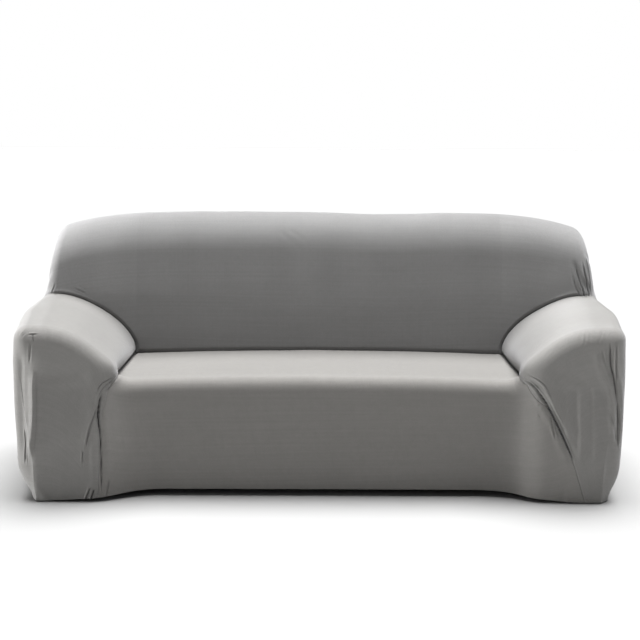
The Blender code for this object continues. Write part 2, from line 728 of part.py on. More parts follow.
for old in list(bpy.data.objects):
    bpy.data.objects.remove(old, do_unlink=True)
ON_TOP = settle(np.array([0, MOUNT_Y, BACK_TOP_Z]))
ORIGIN = (ON_TOP - CLOTH * unit(slope(ON_TOP))) * (0, 1, 1)
build()
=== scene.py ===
"""A grey stretch-jersey slipcover drawn over a three-seat sofa: five panels with their folds, seams and hem.

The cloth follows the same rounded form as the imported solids: a seat, a back and two arms. Each panel is made
of four-sided patches between shared edge lines, settled onto the form and pushed in or out by its folds,
tucked creases, puckered seams, gathered hem and soft unevenness. The knit itself is in the material.
"""

import math
from typing import NamedTuple

import bpy
import numpy as np
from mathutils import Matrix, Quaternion, Vector


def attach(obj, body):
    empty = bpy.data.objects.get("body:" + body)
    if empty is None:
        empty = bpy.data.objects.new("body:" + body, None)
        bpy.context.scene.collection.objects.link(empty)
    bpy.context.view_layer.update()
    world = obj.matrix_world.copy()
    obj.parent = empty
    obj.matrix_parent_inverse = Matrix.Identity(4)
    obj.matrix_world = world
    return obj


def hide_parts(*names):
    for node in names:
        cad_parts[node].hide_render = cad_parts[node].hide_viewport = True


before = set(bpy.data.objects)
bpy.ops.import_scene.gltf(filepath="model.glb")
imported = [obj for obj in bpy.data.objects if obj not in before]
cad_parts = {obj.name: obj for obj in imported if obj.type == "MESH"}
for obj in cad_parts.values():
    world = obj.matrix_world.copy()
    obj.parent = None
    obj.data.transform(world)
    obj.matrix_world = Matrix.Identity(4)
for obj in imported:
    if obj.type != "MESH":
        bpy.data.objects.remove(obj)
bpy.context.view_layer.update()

# All sizes are in metres. While the form is worked out, x runs across the sofa from its middle, y runs back
# from the front of the arms, and z runs up from the floor. place() then moves it into the frame's own axes.
SOLID_CLOTH = 0.0025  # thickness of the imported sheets, under which the mount lies
CLOTH = 0.0012  # thickness of the knit here

SEAT_Z = 0.418  # top of the seat at its rear, beside the arms
SEAT_RISE = 0.015  # how much it rises toward the front for each metre of depth
SEAT_CROWN = 0.014  # how much higher the seat is in the middle
SEAT_FRONT_Y = 0.075  # the seat's front stands this far behind the arms' fronts
SEAT_EDGE_R = 0.052
SEAT_HALF = 0.75

BACK_FOOT_Y = 0.690  # the back's face at seat level
BACK_LEAN = 0.16  # how far the face leans back for each metre of height
BACK_TOP_Z = 0.978  # a little above the highest line, where the rounded front edge meets the rear
BACK_TOP_DROP, BACK_TOP_POWER = 0.075, 6  # how much lower its two ends are, and how late it drops
BACK_DIP, BACK_DIP_X, BACK_DIP_WIDTH = 0.008, 0.26, 0.20  # a shallow sag in the top, right of the middle
BACK_TOP_R = 0.155
BACK_HALF = 1.116  # half width where the back rises from the arms
BACK_NARROWING = 0.150  # lost on each side for each metre of height
BACK_SIDE_R = 0.040
BACK_END_X = 1.08
BACK_LEFT_SHORT = 0.012  # the back's left end stands this much further in
REAR_Y = 0.930
REAR_R = 0.050

ARM_HALF = 1.097  # half width of the whole sofa at the arms' fronts
ARM_WIDENING = 0.034  # added over the first part of the arm's depth
ARM_FRONT_TOP_Z = 0.629
ARM_REAR_TOP_Z = 0.648
ARM_GROWTH_Y = 0.42  # the depth over which the arm reaches its full height and width
ARM_TOP_LEAN = 0.08  # the outer side leans in above ARM_LEAN_Z
ARM_LEAN_Z = 0.50
ARM_CREST_X = (1.00, 1.04)  # at the front and the rear: inside this the arm's top curves down to the seat
ARM_ROUNDNESS = (1.9, 1.58)  # 2 is round, and less is flatter, nearer to a slanted plane
ARM_FLATTENS_Y = (0.10, 0.60)  # the depths between which it changes from one to the other
ARM_BASE_Z = 0.44  # the arm's inner side is upright below this
ARM_INNER_REAR_X = 0.735
ARM_INNER_FRONT_X = 0.757
ARM_NARROWS_Y = (0.05, 0.60)  # between these depths the inner side goes from front to rear
ARM_OVERHANG = 0.032  # the padded arm bulges over the seat near its front
ARM_OVERHANG_Z, ARM_OVERHANG_HEIGHT = 0.49, 0.055
ARM_OUTER_R = 0.043
ARM_FRONT_R = 0.050
ARM_FACE_LEAN = 0.09  # the arm's front leans back above the seat's level

CREASE_BLEND = 0.009  # how sharply the cloth turns where it is tucked in
FRONT_BLEND = 0.085  # how softly it bridges from the seat's front to an arm's front, at the seat's level
FRONT_BLEND_Y = (0.06, 0.22)  # the depths between which that sharpens to the crease's
LOW_BLEND = 0.075  # and low down, where the seat's front comes forward
SIDE_BLEND = 0.030  # between an arm's top and the back
SIDE_BLEND_X = (0.80, 1.05)

TUCK_NEAR, TUCK_NEAR_Z = 0.040, 0.070  # the elastic hem draws the cloth in under the sofa
TUCK_FAR, TUCK_FAR_Z = 0.028, 0.150
TUCK_RIGHT_SPARED = 0.30  # the share of that which the right arm is spared
LEAN_RIGHT_SPARED = 0.06  # and how much less its outer side leans, for each metre of height
FRONT_TUCK = 0.26  # the share at the front and rear

HEM_ARM_Z = 0.0
HEM_SEAT_Z = 0.023
HEM_REAR_Z = 0.012
HEM_DROP_X = (0.57, 1.03)  # between these the front hem drops from the seat's height to the arm's
FILL_X = 0.57  # from here outwards the seat's front comes forward to the arm's
FILL_LEFT_X, FILL_RIGHT_X = 0.83, 0.98  # where it has done so, on each side
FILL_Z = (0.10, 0.42)  # less and less of that is left between these heights

# Where each front seam crosses the arm's front: height, and distance from the sofa's middle.
LEFT_SEAM = ((0.430, 0.757), (0.386, 0.777), (0.294, 0.790), (0.183, 0.790), (0.000, 0.791))
RIGHT_SEAM = ((0.430, 0.765), (0.367, 0.810), (0.257, 0.867), (0.154, 0.913), (0.000, 0.960))
SEAM_CORNER_Y = 0.045
BACK_SPLIT_X = 0.60  # the back's columns above the seat end here at its top
STEP_DROP = 0.010  # the seam from an arm to the rear runs this far below the arm's top
SIDE_FLARE_Y = 0.48  # behind this the arm's outer seam widens to meet the back

MOUNT_Y = 0.880  # the sofa's back carries the cover under this line of its top
EVEN_STEPS = 400
CORNER_STEPS = 8
SECTION_POINTS = 40
GRADIENT_STEP = 0.0005
SETTLE_STEPS = 14
LEVEL_LOW_Z, LEVEL_HIGH_Z = 0.06, 0.20
LONGEST_SETTLE = 0.02
WELD = 1e-5
TINY, SMALL = 1e-12, 1e-6  # least divisors


# ---- the form


def ramp(value, low, high):
    """0 below low, 1 above high, and a smooth rise between."""
    t = np.clip((value - low) / (high - low), 0, 1)
    return t * t * (3 - 2 * t)


def mix(start, end, share):
    """start where the share is 0, end where it is 1, and in proportion between."""
    return start + (end - start) * share


def bell(distance, width):
    """1 where distance is 0, falling off over the width."""
    return np.exp(-((distance / width) ** 2))


def steps_along(points):
    """The distance from each point of a line to the next."""
    return np.linalg.norm(np.diff(points, axis=0), axis=1)


def running_total(steps):
    return np.concatenate([[0], np.cumsum(steps)])


def round_edge(a, b, radius):
    """What lies inside both a and b, with the edge between them rounded."""
    outside = np.hypot(np.maximum(a + radius, 0), np.maximum(b + radius, 0))
    return np.minimum(np.maximum(a + radius, b + radius), 0) + outside - radius


def bridge(a, b, reach):
    """What lies inside a or b, with the hollow between them bridged by the cloth."""
    near = np.maximum(reach - np.abs(a - b), 0) / reach
    return np.minimum(a, b) - near * near * reach / 4


def hem_tuck(z):
    low = np.maximum(z, 0)
    return TUCK_NEAR * bell(low, TUCK_NEAR_Z) + TUCK_FAR * np.exp(-low / TUCK_FAR_Z)


def back_face_y(z):
    return BACK_FOOT_Y + BACK_LEAN * (z - SEAT_Z)


def back_top_z(x):
    sag = BACK_DIP * bell(x - BACK_DIP_X, BACK_DIP_WIDTH)
    return BACK_TOP_Z - BACK_TOP_DROP * (np.abs(x) / BACK_END_X) ** BACK_TOP_POWER - sag


def back_half(z):
    return BACK_HALF - BACK_NARROWING * np.abs(z - ARM_REAR_TOP_Z)


def hem_z(x):
    return mix(HEM_SEAT_Z, HEM_ARM_Z, ramp(np.abs(x), *HEM_DROP_X))


def seat_front_y(x, z):
    """The depth of the seat's front, which low down comes forward to meet the arms' fronts."""
    forward = ramp(np.abs(x), FILL_X, np.where(x < 0, FILL_LEFT_X, FILL_RIGHT_X))
    return SEAT_FRONT_Y * (1 - forward * (1 - ramp(z, *FILL_Z)))


def seat_top_z(x, y):
    return SEAT_Z + SEAT_CROWN * (1 - (x / SEAT_HALF) ** 2) + SEAT_RISE * (BACK_FOOT_Y - y)


def arm_top_z(y):
    return mix(ARM_FRONT_TOP_Z, ARM_REAR_TOP_Z, ramp(y, 0, ARM_GROWTH_Y))


def arm_half(y, z):
    lean = ARM_TOP_LEAN * np.maximum(z - ARM_LEAN_Z, 0)
    return ARM_HALF + ARM_WIDENING * ramp(y, 0, ARM_GROWTH_Y) - lean - hem_tuck(z)


def right_spared(z):
    """How much further out the right arm's side stands than the left's."""
    return TUCK_RIGHT_SPARED * hem_tuck(z) + LEAN_RIGHT_SPARED * np.maximum(z - ARM_LEAN_Z, 0)


def arm_crest_x(y):
    return mix(*ARM_CREST_X, ramp(y, *ARM_FLATTENS_Y))


def arm_roundness(y):
    return mix(*ARM_ROUNDNESS, ramp(y, *ARM_FLATTENS_Y))


def arm_inner_x(y, z):
    front = 1 - ramp(y, *ARM_NARROWS_Y)
    overhang = ARM_OVERHANG * bell(z - ARM_OVERHANG_Z, ARM_OVERHANG_HEIGHT)
    return ARM_INNER_REAR_X + front * (ARM_INNER_FRONT_X - ARM_INNER_REAR_X - overhang)


def arm_face_y(z):
    return ARM_FACE_LEAN * np.maximum(z - SEAT_Z, 0) + FRONT_TUCK * hem_tuck(z)


def form(p):
    """Negative inside the shape that the cloth covers, zero on the cloth's outer face."""
    x, y, z = p[..., 0], p[..., 1], p[..., 2]
    across = np.abs(x)

    seat_front = seat_front_y(x, z) + FRONT_TUCK * hem_tuck(z) - y
    seat = round_edge(seat_front, z - seat_top_z(np.clip(x, -SEAT_HALF, SEAT_HALF), y), SEAT_EDGE_R)
    seat = np.maximum(seat, across - ARM_CREST_X[0])

    back = round_edge(back_face_y(z) - y, z - back_top_z(x), BACK_TOP_R)
    back = round_edge(back, across + BACK_LEFT_SHORT * (x < 0) - back_half(z), BACK_SIDE_R)

    base, top = ARM_BASE_Z, arm_top_z(y)
    crest, power = arm_crest_x(y), arm_roundness(y)
    inward = np.maximum(crest - across, 0) / (crest - arm_inner_x(y, z))
    upward = np.maximum(z - base, 0) / (top - base)
    arm = ((inward**power + upward**power) ** (1 / power) - 1) * (top - base)
    arm = round_edge(arm, across - arm_half(y, z) - right_spared(z) * (x > 0), ARM_OUTER_R)
    arm = round_edge(arm, arm_face_y(z) - y, ARM_FRONT_R)

    front = 1 - ramp(y, *FRONT_BLEND_Y)
    soft = mix(LOW_BLEND, FRONT_BLEND, ramp(z, *FILL_Z))
    body = bridge(seat, arm, mix(CREASE_BLEND, soft, front))
    body = bridge(body, back, mix(CREASE_BLEND, SIDE_BLEND, ramp(across, *SIDE_BLEND_X)))
    return round_edge(body, y - REAR_Y + FRONT_TUCK * hem_tuck(z), REAR_R)


def slope(p):
    """The form's gradient, which points out of the cloth."""
    steps = np.eye(3) * GRADIENT_STEP
    rises = [form(p + step) - form(p - step) for step in steps]
    return np.stack(rises, axis=-1) / (2 * GRADIENT_STEP)


def unit(vectors):
    return vectors / np.maximum(np.linalg.norm(vectors, axis=-1, keepdims=True), TINY)


def settle(points):
    """Moves points straight onto the form, and level near the hem so that the hem keeps its height."""
    p = np.array(points, float)
    for _ in range(SETTLE_STEPS):
        g = slope(p)
        way = g.copy()
        way[..., 2] *= ramp(p[..., 2], LEVEL_LOW_Z, LEVEL_HIGH_Z)
        move = -form(p)[..., None] * way / np.maximum((way * g).sum(-1, keepdims=True), SMALL)
        length = np.linalg.norm(move, axis=-1, keepdims=True)
        p += move * np.minimum(1, LONGEST_SETTLE / np.maximum(length, TINY))
    return p


# ---- edge lines


def spread(length, start, end, step):
    """Fractions 0 to 1 along a line: the given distances at both ends and about equal steps between."""
    first, last = np.array(start), length - np.array(end)[::-1]
    count = max(1, round((last[0] - first[-1]) / step))
    middle = np.linspace(first[-1], last[0], count + 1)
    return np.concatenate([first[:-1], middle, last[1:]]) / length


# Stations along each family of lines: closer together at creases, seams and rounded edges.
ACROSS_END = (0, 0.012, 0.026, 0.045, 0.075, 0.120)
ACROSS = spread(1.50, ACROSS_END, ACROSS_END, 0.090)
ARM_ROUND = spread(0.50, (0, 0.012, 0.035, 0.070), (0, 0.016, 0.032, 0.048, 0.064, 0.082, 0.105), 0.062)
DEPTH = spread(0.66, (0, 0.012, 0.035, 0.075), (0, 0.030, 0.060, 0.095), 0.100)
DROP = spread(0.42, (0, 0.020, 0.045, 0.080), (0, 0.014, 0.040, 0.075), 0.055)
RISE = spread(0.50, (0, 0.012, 0.035), (0, 0.030, 0.065, 0.105), 0.075)
TOP = spread(0.20, (0, 0.035), (0, 0.035), 0.045)


def joined(*parts):
    """Points from their x, y and z, each an array or one number for all."""
    return np.stack(np.broadcast_arrays(*parts), -1)


def line(start, end, stations):
    start, end = np.array(start, float), np.array(end, float)
    return mix(start, end, stations[:, None])


def along(points, stations):
    """Points at the given fractions of the length of a polyline."""
    points = np.array(points, float)
    reached = running_total(steps_along(points))
    return np.stack([np.interp(stations * reached[-1], reached, points[:, k]) for k in range(3)], -1)


def arm_section(y_of_z, inner_x, outer_x, top, depth):
    """The arm's outline from the seat's crease up its inner side and over its top, as points to follow."""
    turn = np.linspace(0, math.pi / 2, SECTION_POINTS)
    crest, power = arm_crest_x(depth), 2 / arm_roundness(depth)
    x = crest - (crest - inner_x) * np.cos(turn) ** power
    z = ARM_BASE_Z + (top - ARM_BASE_Z) * np.sin(turn) ** power
    x = np.concatenate([[inner_x], x, [outer_x]])
    z = np.concatenate([[SEAT_Z], z, [top]])
    return joined(x, y_of_z(z), z)


def side_lines(side, seam):
    """The edge lines beside one arm, as arrays of points. side is -1 on the left and 1 on the right."""
    seam_z, seam_x = np.array(seam).T
    corner = (seam_x[0], SEAM_CORNER_Y, seam_z[0])
    rear_arm = (BACK_HALF, back_face_y(ARM_REAR_TOP_Z), ARM_REAR_TOP_Z - STEP_DROP)
    rear_edge = (BACK_HALF, REAR_Y, ARM_REAR_TOP_Z - STEP_DROP)
    top_z = ARM_REAR_TOP_Z
    for _ in range(CORNER_STEPS):
        top_z = back_top_z(back_half(top_z))
    top_front = (back_half(top_z), back_face_y(top_z), top_z)
    top_rear = (back_half(top_z), REAR_Y, top_z)
    hem_corner_x = ARM_HALF - TUCK_NEAR - TUCK_FAR
    seam_foot_z = hem_z(seam_x[-1])
    front_z = mix(seam_foot_z, seam_z[0], 1 - DROP)
    outer_z = mix(HEM_ARM_Z, ARM_FRONT_TOP_Z, 1 - DROP)
    hem_start, hem_end = (seam_x[-1], 0, seam_foot_z), (hem_corner_x, 0, HEM_ARM_Z)
    rear_z = mix(HEM_REAR_Z, rear_edge[2], 1 - DROP)
    arm_y = rear_arm[1] * (1 - DEPTH)
    outer_x = mix(arm_half(arm_y, ARM_REAR_TOP_Z), BACK_HALF, ramp(arm_y, SIDE_FLARE_Y, rear_arm[1]))
    side_y = np.concatenate([arm_y[::-1], mix(rear_arm[1], REAR_Y, TOP[1:])])
    back_section = (ARM_INNER_REAR_X, BACK_HALF, ARM_REAR_TOP_Z, BACK_FOOT_Y)
    front_section = (ARM_INNER_FRONT_X, ARM_HALF, ARM_FRONT_TOP_Z, 0)

    lines = {
        "seat_crease": along([(ARM_INNER_REAR_X, BACK_FOOT_Y, SEAT_Z), corner], DEPTH),
        "front_seam": joined(np.interp(-front_z, -seam_z, seam_x), SEAM_CORNER_Y * (1 - DROP), front_z),
        "arm_back": along(arm_section(back_face_y, *back_section), ARM_ROUND),
        "arm_front_top": along(arm_section(lambda z: 0 * z, *front_section), ARM_ROUND),
        "arm_outer_top": joined(outer_x, arm_y, arm_top_z(arm_y)),
        "arm_front_edge": joined(arm_half(0, outer_z), 0, outer_z),
        "arm_hem": line(hem_start, hem_end, np.linspace(0, 1, len(ARM_ROUND))),
        "side_hem": joined(arm_half(side_y, 0.0), side_y, HEM_ARM_Z),
        "side_step": line(rear_arm, rear_edge, TOP),
        "rear_lower": joined(arm_half(REAR_Y, rear_z), REAR_Y, rear_z),
        "back_side_edge": line(rear_arm, top_front, RISE),
        "rear_upper": line(rear_edge, top_rear, RISE),
        "top_side_edge": line(top_front, top_rear, TOP),
    }
    # The lines that meet at a corner share its point exactly.
    lines["arm_front_top"][0] = corner
    lines["arm_back"][-1] = rear_arm
    lines["arm_outer_top"][0] = rear_arm
    lines["arm_front_edge"][0] = lines["arm_outer_top"][-1] = lines["arm_front_top"][-1]
    lines["arm_hem"][0] = lines["front_seam"][-1]
    lines["arm_front_edge"][-1] = lines["side_hem"][0] = lines["arm_hem"][-1]
    lines["rear_lower"][0] = rear_edge
    lines["side_hem"][-1] = lines["rear_lower"][-1]
    for points in lines.values():
        points[:, 0] *= side
    return lines


def full_width(left, middle, right):
    """One line from the left arm's outer end, over the middle, to the right arm's outer end."""
    return np.concatenate([left[::-1], middle[1:-1], right])


def cross_lines(left, right):
    """The edge lines that run across the whole sofa."""

    def across(start, end, height, stations=ACROSS):
        points = line(start, end, stations)
        points[:, 2] = height(points[:, 0])
        return points

    def over_back(end, height):
        """The middle part, above the seat, and on both sides the part above an arm, out to end."""
        y, split = end[1], BACK_SPLIT_X
        out = line((split, y, 0), (abs(end[0]), y, 0), ARM_ROUND)
        out[:, 2] = height(out[:, 0])
        out[-1, 2] = end[2]
        middle = across((-split, y, 0), (split, y, 0), height)
        return full_width(out * (-1, 1, 1), middle, out)

    rear_hem = over_back(right["rear_lower"][-1], lambda x: HEM_REAR_Z + 0 * x)
    rear_hem[0] = left["rear_lower"][-1]

    crease = across(left["seat_crease"][0], right["seat_crease"][0], lambda x: seat_top_z(x, BACK_FOOT_Y))
    crease[0], crease[-1] = left["seat_crease"][0], right["seat_crease"][0]
    front_edge = line(left["seat_crease"][-1], right["seat_crease"][-1], ACROSS)
    front_edge[1:-1, 1] = SEAT_FRONT_Y
    front_edge[1:-1, 2] = seat_top_z(front_edge[1:-1, 0], SEAT_FRONT_Y)
    front_hem = line(left["front_seam"][-1], right["front_seam"][-1], ACROSS)
    front_hem[1:-1, 1] = seat_front_y(front_hem[1:-1, 0], 0)
    front_hem[1:-1, 2] = hem_z(front_hem[1:-1, 0])
    return {
        "crease": crease,
        "front_edge": front_edge,
        "front_hem": front_hem,
        "back_foot": full_width(left["arm_back"], crease, right["arm_back"]),
        "back_top_front": over_back(right["top_side_edge"][0], back_top_z),
        "back_top_rear": over_back(right["top_side_edge"][-1], back_top_z),
        "rear_hem": rear_hem,
    }


# ---- patches


def fill(top, bottom, left, right):
    """A grid of points between four edge lines. Top and bottom run the same way, as do left and right."""
    u = 0.5 * (fractions(top) + fractions(bottom))[None, :, None]
    v = 0.5 * (fractions(left) + fractions(right))[:, None, None]
    ruled = (1 - v) * top[None] + v * bottom[None] + (1 - u) * left[:, None] + u * right[:, None]
    corners = (1 - v) * ((1 - u) * top[0] + u * top[-1]) + v * ((1 - u) * bottom[0] + u * bottom[-1])
    grid = ruled - corners
    width = np.linalg.norm(np.diff(grid, axis=1), axis=-1).sum(1).mean()
    height = np.linalg.norm(np.diff(grid, axis=0), axis=-1).sum(0).mean()
    before, after = neighbour_weights(u * width, 1)
    above, below = neighbour_weights(v * height, 0)
    total = before + after + above + below
    for _ in range(EVEN_STEPS):
        pull = before * grid[1:-1, :-2] + after * grid[1:-1, 2:]
        pull += above * grid[:-2, 1:-1] + below * grid[2:, 1:-1]
        grid[1:-1, 1:-1] = pull / total
    return grid


def neighbour_weights(stations, axis):
    """How strongly a grid point is drawn to its neighbour on each side, for unevenly spaced stations."""
    gaps = np.diff(stations, axis=axis)
    first, second = (gaps[:, :-1], gaps[:, 1:]) if axis == 1 else (gaps[:-1], gaps[1:])
    return 2 / (first * (first + second)), 2 / (second * (first + second))


def fractions(points):
    reached = running_total(steps_along(points))
    return reached / reached[-1]


def lateral(points, path):
    """Distance of each point from a polyline, and the fraction along it of the nearest place."""
    lengths = steps_along(path)
    reached = running_total(lengths)
    best = np.full(len(points), np.inf)
    fraction = np.zeros(len(points))
    for start, end, length, passed in zip(path[:-1], path[1:], lengths, reached):
        t = np.clip(((points - start) @ (end - start)) / length**2, 0, 1)
        distance = np.linalg.norm(points - start - t[:, None] * (end - start), axis=1)
        nearer = distance < best
        best = np.where(nearer, distance, best)
        fraction = np.where(nearer, (passed + t * length) / reached[-1], fraction)
    return best, fraction


# ---- finer grids


class Family(NamedTuple):
    """The fractions along a family of lines at which edge lines are worked out, and those of the mesh."""

    at: np.ndarray
    finer: np.ndarray

    def flipped(self):
        return Family(1 - self.at[::-1], 1 - self.finer[::-1])

    def sparser(self):
        return Family(self.at, self.finer[::2])


STEP_SAMPLES = 2000


def closer(length, fine, coarse, reach):
    """Fractions along a line, with fine steps at both ends that grow to coarse ones over reach."""
    s = np.linspace(0, length, STEP_SAMPLES)
    step = mix(fine, coarse, ramp(np.minimum(s, length - s), 0, reach))
    count = running_total(np.diff(s) * 2 / (step[1:] + step[:-1]))
    even = 2 * round(count[-1] / 2)
    return np.interp(np.linspace(0, count[-1], even + 1), count, s) / length


ACROSS_LINES = Family(ACROSS, closer(1.50, 0.0016, 0.0100, 0.16))
ARM_LINES = Family(ARM_ROUND, closer(0.50, 0.0014, 0.0044, 0.13))
DEPTH_LINES = Family(DEPTH, closer(0.66, 0.0026, 0.0110, 0.12))
DROP_LINES = Family(DROP, closer(0.42, 0.0026, 0.0056, 0.10))
RISE_LINES = Family(RISE, closer(0.50, 0.0024, 0.0125, 0.13))
TOP_LINES = Family(TOP, closer(0.20, 0.0080, 0.0140, 0.05))
WHOLE_WIDTH = (ARM_LINES.flipped(), ACROSS_LINES, ARM_LINES)


def through(points, family):
    """Points at a family's finer stations, on curves through the given ones that never swing past them."""
    gaps = np.diff(family.at).reshape(-1, 1, 1)
    slopes = np.diff(points, axis=0) / gaps
    before, after = slopes[:-1], slopes[1:]
    near, far = gaps[:-1] + 2 * gaps[1:], 2 * gaps[:-1] + gaps[1:]
    same = before * after > 0
    weighted = np.where(same, near * after + far * before, 1)
    inner = np.where(same, (near + far) * before * after / weighted, 0)
    tangents = np.concatenate([slopes[:1], inner, slopes[-1:]])
    cell = np.clip(np.searchsorted(family.at, family.finer, side="right") - 1, 0, len(gaps) - 1)
    gap = gaps[cell]
    t = (family.finer - family.at[cell]).reshape(-1, 1, 1) / gap
    start = (1 + 2 * t) * (1 - t) ** 2 * points[cell] + t * (1 - t) ** 2 * gap * tangents[cell]
    end = t**2 * (3 - 2 * t) * points[cell + 1] + t**2 * (t - 1) * gap * tangents[cell + 1]
    return start + end


def refined(grid, families):
    """The grid with finer stations along its first axis, which runs through these families in turn."""
    parts, start = [], 0
    for family in families:
        end = start + len(family.at)
        parts.append(through(grid[start:end], family)[1 if start else 0 :])
        start = end - 1
    return np.concatenate(parts)


def finer_line(points, *families):
    """A fine, settled line through the points of a coarse one."""
    return settle(refined(points[:, None], families)[:, 0])


class Patch(NamedTuple):
    """A grid of points, the families along its two axes, and if it goes on from the patch before."""

    grid: np.ndarray
    rows: tuple
    columns: tuple
    goes_on: bool = False


def panel_patches(left, right, middle):
    """Every panel's patches, named by panel."""
    depth, drop, rise, top = (DEPTH_LINES,), (DROP_LINES,), (RISE_LINES,), (TOP_LINES,)
    across, around, wide = (ACROSS_LINES,), (ARM_LINES,), WHOLE_WIDTH
    edge, top_front, top_rear = (middle[name] for name in ("front_edge", "back_top_front", "back_top_rear"))
    halves = (left, right)

    def between_sides(upper, lower, side):
        return fill(upper, lower, left[side], right[side])

    panels = {
        "seat_front_panel": [
            Patch(between_sides(middle["crease"], edge, "seat_crease"), depth, across),
            Patch(between_sides(edge, middle["front_hem"], "front_seam"), drop, across, True),
        ],
        "inside_back_panel": [
            Patch(between_sides(middle["back_foot"], top_front, "back_side_edge"), rise, wide),
            Patch(between_sides(top_front, top_rear, "top_side_edge"), top, wide, True),
        ],
    }
    for name, half in zip(("left", "right"), halves):
        step, front_top, front_edge = half["side_step"], half["arm_front_top"], half["arm_front_edge"]
        back_end = fill(step, half["top_side_edge"], half["back_side_edge"], half["rear_upper"])
        panels["inside_back_panel"].append(Patch(back_end, rise, top))
        side_top = np.concatenate([half["arm_outer_top"][::-1], step[1:]])
        over = fill(half["arm_back"], front_top, half["seat_crease"], half["arm_outer_top"])
        front = fill(front_top, half["arm_hem"], half["front_seam"], front_edge)
        side = fill(side_top, half["side_hem"], front_edge, half["rear_lower"])
        panels[f"{name}_arm_panel"] = [
            Patch(over, depth, around),
            Patch(front, drop, around, True),
            Patch(side, drop, (DEPTH_LINES.flipped(), TOP_LINES)),
        ]
    rears = [np.concatenate([half["rear_upper"][::-1], half["rear_lower"][1:]]) for half in halves]
    rear_rows = (RISE_LINES.flipped().sparser(), DROP_LINES.sparser())
    rear_columns = tuple(family.sparser() for family in wide)
    rear = fill(top_rear, middle["rear_hem"], *rears)
    panels["outside_back_panel"] = [Patch(rear, rear_rows, rear_columns)]
    return panels


# ---- folds


class Fold(NamedTuple):
    """One fold: how deep it sinks, or stands out where negative, half its width, how far its two banks stand
    out as a share of its depth, and its path in x, y, z."""

    depth: float
    width: float
    banks: float
    path: np.ndarray


